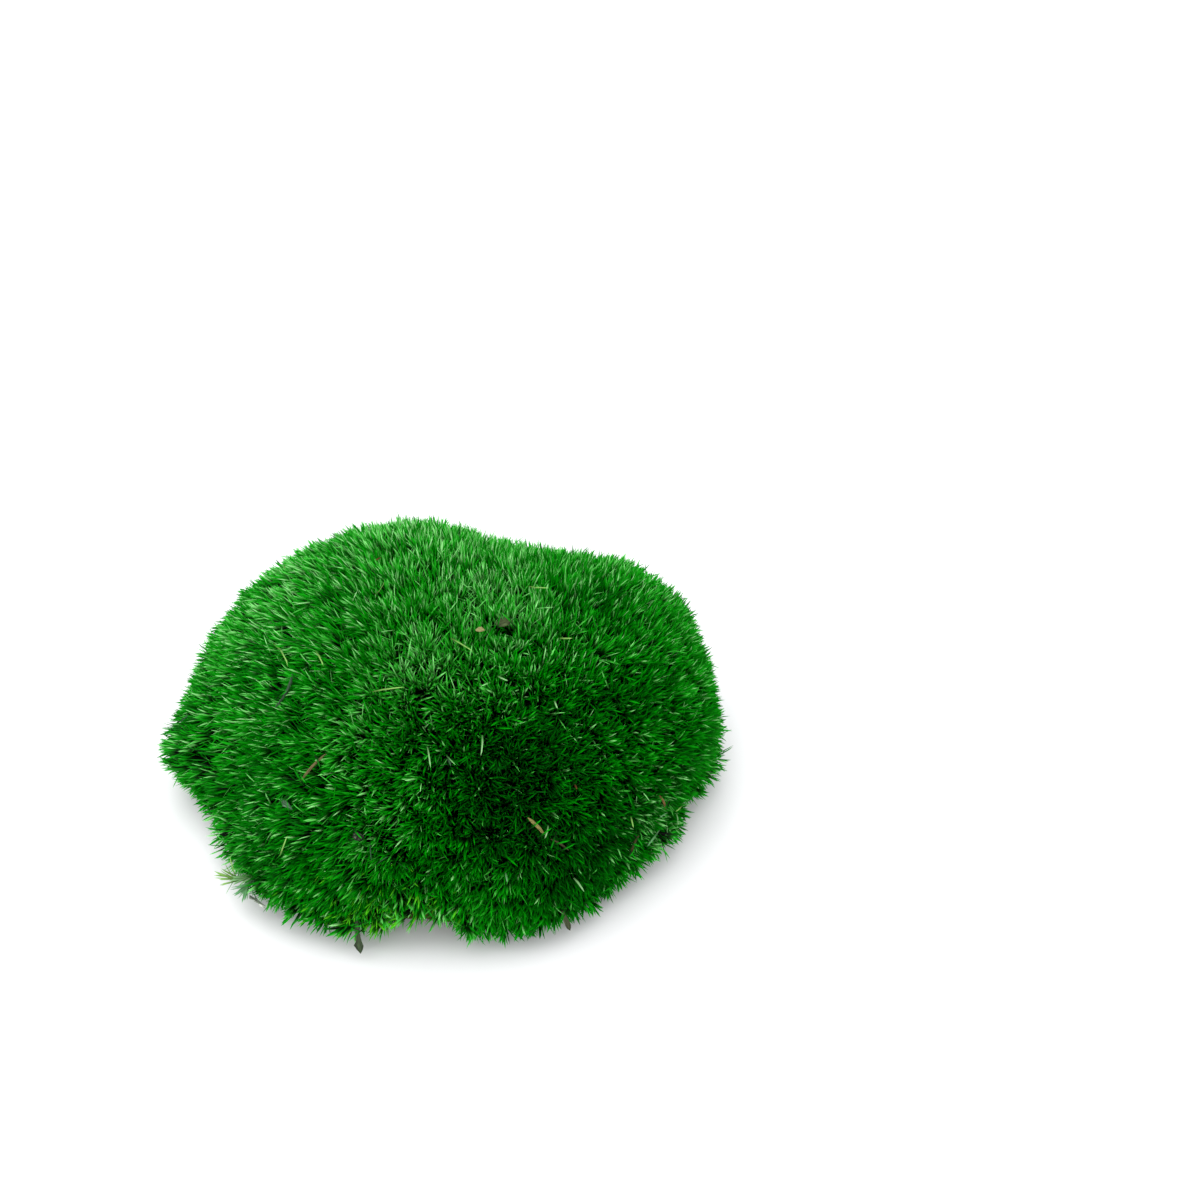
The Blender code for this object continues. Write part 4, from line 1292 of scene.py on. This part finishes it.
class MOSS_OT_odd_leaves(bpy.types.Operator):
    """Add the loose shoots of the fringe and the odd dead leaves on the tufts"""

    bl_idname = "moss.odd_leaves"
    bl_label = "Add Odd Leaves"

    def execute(self, context):
        settings = context.scene.moss_leaf
        random = np.random.default_rng(SHOOT_SEED + 1)
        material = bpy.data.materials["moss_leaf"]
        shoots = loose_shoots()
        parts = []
        for index, loose in enumerate(LOOSE_SHOOTS):
            one = Shoots(*(part[index : index + 1] for part in shoots))
            lengths = (loose.length, loose.length * 0.8)
            leaves, _, _ = leaves_of(one, loose.leaves, lengths, settings, random)
            tone = np.full(loose.leaves, ODD_TONES[loose.tone])
            start = np.full(loose.leaves, LYING_START)
            parts.append(leaves._replace(tone=tone, start=start))
        leaf_piece("loose_shoots", joined(parts), material)

        places = [surface_place(leaf, -ODD_DEPTH) for leaf in ODD_LEAVES]
        middle, along, _, outward = map(np.array, zip(*places))
        grown, wide = np.array([(leaf.length, leaf.width) for leaf in ODD_LEAVES]).T
        tone = np.array([ODD_TONES[leaf.tone] for leaf in ODD_LEAVES])
        foot = middle - along * grown[:, None] / 2
        odd = lying_leaves(foot, along, outward, grown, wide, tone, random)
        leaf_piece("odd_leaves", joined([odd, cover_leaves(random)]), material)
        return {"FINISHED"}


class MOSS_OT_stems(bpy.types.Operator):
    """Fill the clump with its old stems"""

    bl_idname = "moss.stems"
    bl_label = "Fill Stems"

    def execute(self, context):
        rows, columns = STEM_CELLS
        from_top = np.radians(np.linspace(0, 90 - LOWEST_ELEVATION + STEM_FURTHER, rows))
        around = np.linspace(0, 2 * math.pi, columns, endpoint=False)
        tops, turns = np.meshgrid(from_top[1:], around, indexing="ij")
        elevation = math.pi / 2 - tops
        reach = tip_distance(turns, elevation) - STEM_DEPTH
        places = growth_point() + unit(turns, elevation) * reach[..., None]
        places += ripples(places, STEM_RIPPLES)[..., None]
        top = tip_place(0, 90) - [0, 0, STEM_DEPTH]
        points = np.concatenate([places.reshape(-1, 3), [top, growth_point(STEM_BASE)]])
        index, following = ring_grid(rows - 1, columns)
        quads = np.stack([index[:-1], index[1:], following[1:], following[:-1]], -1)
        cap = closing(index[0], following[0], len(points) - 2)
        foot = closing(following[-1], index[-1], len(points) - 1)
        triangles = np.concatenate([cap, foot])
        material = stem_material(context.scene.moss_humus)
        made = mesh_piece("old_stems", points, quads, triangles, material)
        riding(made, "moss_green", "moss_cushion")
        return {"FINISHED"}


class MOSS_OT_humus(bpy.types.Operator):
    """Lay the humus mat under the moss, with the old stems that hang out of its side"""

    bl_idname = "moss.humus"
    bl_label = "Lay Humus"

    def execute(self, context):
        material = humus_material(context.scene.moss_humus)
        made = mesh_piece("humus", *humus_mesh(), material)
        riding(made, "humus_brown", "humus_mat")
        made = mesh_piece("humus_strands", *strand_mesh(), material)
        riding(made, "humus_brown")
        return {"FINISHED"}


def humus_mesh():
    """Points, quads and triangles of the mat.

    A row's radius is a share of HUMUS_SHARE times the rim's radius.  The rows run out over the
    foot, up the side, which bulges by a sine, and in over the top.  Ripples make the side ragged
    and pit the foot upwards from the cut.
    """
    foot_rows, side_rows, top_rows, columns = HUMUS_CELLS
    foot = np.linspace(0, 1, foot_rows + 1)[1:]
    up = np.linspace(0, 1, side_rows + 2)[1:-1]
    inward = np.linspace(1, 0, top_rows + 1)[:-1]
    share_out = np.concatenate([foot, 1 + SIDE_BULGE * np.sin(math.pi * up), inward])
    share_up = np.concatenate([0 * foot, up, 1 + 0 * inward])
    around = np.linspace(0, 2 * math.pi, columns, endpoint=False)
    radius = HUMUS_SHARE * rim_radius(around)
    level = unit(around, np.zeros(columns))
    places = growth_point(0) + share_out[:, None, None] * (radius[:, None] * level)
    places[..., 2] = share_up[:, None] * HUMUS_THICKNESS
    side = smooth_step(SIDE_FROM, 1.0, share_out)[:, None]
    ragged = HUMUS_RAGGED * ripples(places, SIDE_RIPPLES) / SIDE_STRENGTH
    places += (side * ragged)[..., None] * level
    pits = CUT_PITS * np.maximum(ripples(places, PIT_RIPPLES), 0)
    places[..., 2] += np.where(share_up[:, None] == 0, pits, 0)
    middles = [growth_point(0), growth_point(HUMUS_THICKNESS)]
    points = np.concatenate([places.reshape(-1, 3), middles])
    index, following = ring_grid(len(share_out), columns)
    quads = np.stack([index[:-1], following[:-1], following[1:], index[1:]], -1)
    bottom = closing(following[0], index[0], len(points) - 2)
    top = closing(index[-1], following[-1], len(points) - 1)
    return points, quads, np.concatenate([bottom, top])


def strand_mesh():
    """Points, quads and triangles of the old stems that hang out of the mat's side.

    Each is a three-sided tube that narrows to a point.  It starts in the mat's side and falls
    outwards along a parabola.
    """
    random = np.random.default_rng(STRAND_SEED)
    bearing = random.uniform(0, 2 * math.pi, STRANDS)
    start_height = random.uniform(*STRAND_HEIGHTS, STRANDS)
    reach = random.uniform(*STRAND_REACH, STRANDS)
    end_height = start_height - random.uniform(*STRAND_FALLS, STRANDS)
    fall = start_height - np.maximum(end_height, STRAND_LOWEST)
    s = np.linspace(0, 1, STRAND_STEPS + 1)
    swing = random.normal(0, STRAND_SWING, STRANDS)
    level = unit(bearing, np.zeros(STRANDS))
    aside = unit(bearing + math.pi / 2, np.zeros(STRANDS))
    inside = HUMUS_SHARE * rim_radius(bearing) - STRAND_INSET
    start = growth_point(0) + level * inside[:, None]
    path = start[:, None] + (reach[:, None] * s)[..., None] * level[:, None]
    path = path + (swing[:, None] * s**2)[..., None] * aside[:, None]
    path[..., 2] = start_height[:, None] - fall[:, None] * s**2
    width = STRAND_WIDTH * random.uniform(*STRAND_WIDTHS, STRANDS)
    radius = (width[:, None] / 2) * (1 - STRAND_TAPER * s[:-1])
    turn = np.arange(3) * 2 * math.pi / 3
    ring = np.cos(turn)[:, None, None] * aside + np.sin(turn)[:, None, None] * np.array([0, 0, 1.0])
    rings = path[:, :-1, None] + radius[..., None, None] * np.swapaxes(ring, 0, 1)[:, None]
    points = np.concatenate([rings.reshape(STRANDS, -1, 3), path[:, -1:]], axis=1)
    points[..., 2] = np.maximum(points[..., 2], STRAND_GAP)
    one, following = ring_grid(STRAND_STEPS, 3)
    quad = np.stack([one[:-1], following[:-1], following[1:], one[1:]], -1).reshape(-1, 4)
    tip = closing(one[-1], following[-1], 3 * STRAND_STEPS)
    first_point = (np.arange(STRANDS) * points.shape[1])[:, None, None]
    return points.reshape(-1, 3), first_point + quad, first_point + tip


class MOSS_OT_litter(bpy.types.Operator):
    """Place the needles, twigs, flakes and hanging leaves"""

    bl_idname = "moss.litter"
    bl_label = "Place Litter"

    def execute(self, context):
        materials = {
            name: litter_material(name, *finish) for name, finish in LITTER_FINISHES.items()
        }
        for piece in (*LITTER, *HANGINGS):
            points, quads, triangles, places = carried_ring(piece)
            name = piece.name + "_piece"
            made = mesh_piece(name, points, quads, triangles, materials[piece.finish], places)
            riding(made, piece.slot, piece.name)
        return {"FINISHED"}


class MOSS_OT_stage(bpy.types.Operator):
    """Set up the pale floor, the soft light and the camera"""

    bl_idname = "moss.stage"
    bl_label = "Set Up Stage"

    def execute(self, context):
        settings = context.scene.moss_stage
        half = FLOOR_HALF
        corners = [(-half, -half, 0), (half, -half, 0), (half, half, 0), (-half, half, 0)]
        made, _, shader = new_material("pale_floor", 0.9, 0.1)
        shader.inputs["Base Color"].default_value = (*settings.floor, 1)
        mesh_piece("floor", corners, [[0, 1, 2, 3]], [], made)

        world = context.scene.world or bpy.data.worlds.new("studio")
        context.scene.world = world
        world.use_nodes = True
        background = world.node_tree.nodes["Background"]
        background.inputs["Color"].default_value = (1, 1, 1, 1)
        background.inputs["Strength"].default_value = settings.sky

        add_light("key_light", settings.key, settings.key_size, KEY_PLACE)
        add_light("low_light", settings.low, settings.low_size, LOW_PLACE)

        data = bpy.data.cameras.new("camera")
        data.lens = settings.lens
        data.sensor_width = SENSOR_WIDTH
        data.clip_start, data.clip_end = CLIP
        camera = bpy.data.objects.new("camera", data)
        context.scene.collection.objects.link(camera)
        context.scene.camera = camera
        place_camera(camera, settings)
        context.scene.view_settings.view_transform = "Standard"
        return {"FINISHED"}


def add_light(name, power, size, place):
    """Adds a round light that looks at the clump."""
    lamp = bpy.data.lights.new(name, "AREA")
    lamp.shape = "DISK"
    lamp.size = size
    lamp.energy = power
    light = bpy.data.objects.new(name, lamp)
    bpy.context.scene.collection.objects.link(light)
    aim(light, np.array(place), np.array(LIGHT_TARGET))


def aim(thing, place, target):
    """Puts a lamp or a camera at a place, turned so that it looks at a target."""
    away = normalised(place - target)
    side = normalised(np.cross([0, 0, 1], away))
    matrix = np.eye(4)
    matrix[:3] = np.stack([side, np.cross(away, side), away, place], -1)
    thing.matrix_world = Matrix(matrix.tolist())


def place_camera(camera, settings):
    """Puts the camera so that the clump is where the picture shows it.

    The ground under the growth centre is settings.distance in front of the camera.  Its offset to
    the side and up is its pixel's offset from the picture's middle, times distance over focal
    length in pixels.
    """
    right = np.array([1.0, 0.0, 0.0])
    ahead = np.array([0.0, math.cos(settings.pitch), -math.sin(settings.pitch)])
    up = np.cross(right, ahead)
    pixel_size = settings.distance * SENSOR_WIDTH / (settings.lens * PICTURE_SIDE)
    beside = (CLUMP_PIXEL[0] - PICTURE_SIDE / 2) * pixel_size
    above = (PICTURE_SIDE / 2 - CLUMP_PIXEL[1]) * pixel_size
    place = growth_point(0) - beside * right - above * up - settings.distance * ahead
    aim(camera, place, place + ahead)


class MOSS_PT_panel(bpy.types.Panel):
    """Lists the pieces of the moss clump"""

    bl_idname = "MOSS_PT_panel"
    bl_label = "Moss Clump"
    bl_space_type = "VIEW_3D"
    bl_region_type = "UI"
    bl_category = "Moss"

    def draw(self, context):
        for operator in OPERATORS:
            self.layout.operator(operator.bl_idname)


OPERATORS = (
    MOSS_OT_leaves, MOSS_OT_fringe, MOSS_OT_odd_leaves, MOSS_OT_stems, MOSS_OT_humus,
    MOSS_OT_litter, MOSS_OT_stage,
)
SETTINGS = {
    "moss_leaf": MossLeafSettings,
    "moss_humus": MossHumusSettings,
    "moss_stage": MossStageSettings,
}
CLASSES = (*SETTINGS.values(), *OPERATORS, MOSS_PT_panel)


def register():
    """Registers the settings, the operators and the panel."""
    for kind in CLASSES:
        bpy.utils.register_class(kind)
    for name, kind in SETTINGS.items():
        setattr(bpy.types.Scene, name, bpy.props.PointerProperty(type=kind))


def unregister():
    """Takes them out again."""
    for name in SETTINGS:
        delattr(bpy.types.Scene, name)
    for kind in reversed(CLASSES):
        bpy.utils.unregister_class(kind)


def main():
    """Makes every piece."""
    register()
    bpy.ops.moss.leaves()
    bpy.ops.moss.fringe()
    bpy.ops.moss.odd_leaves()
    bpy.ops.moss.stems()
    bpy.ops.moss.humus()
    bpy.ops.moss.litter()
    bpy.ops.moss.stage()


if __name__ == "__main__":
    main()
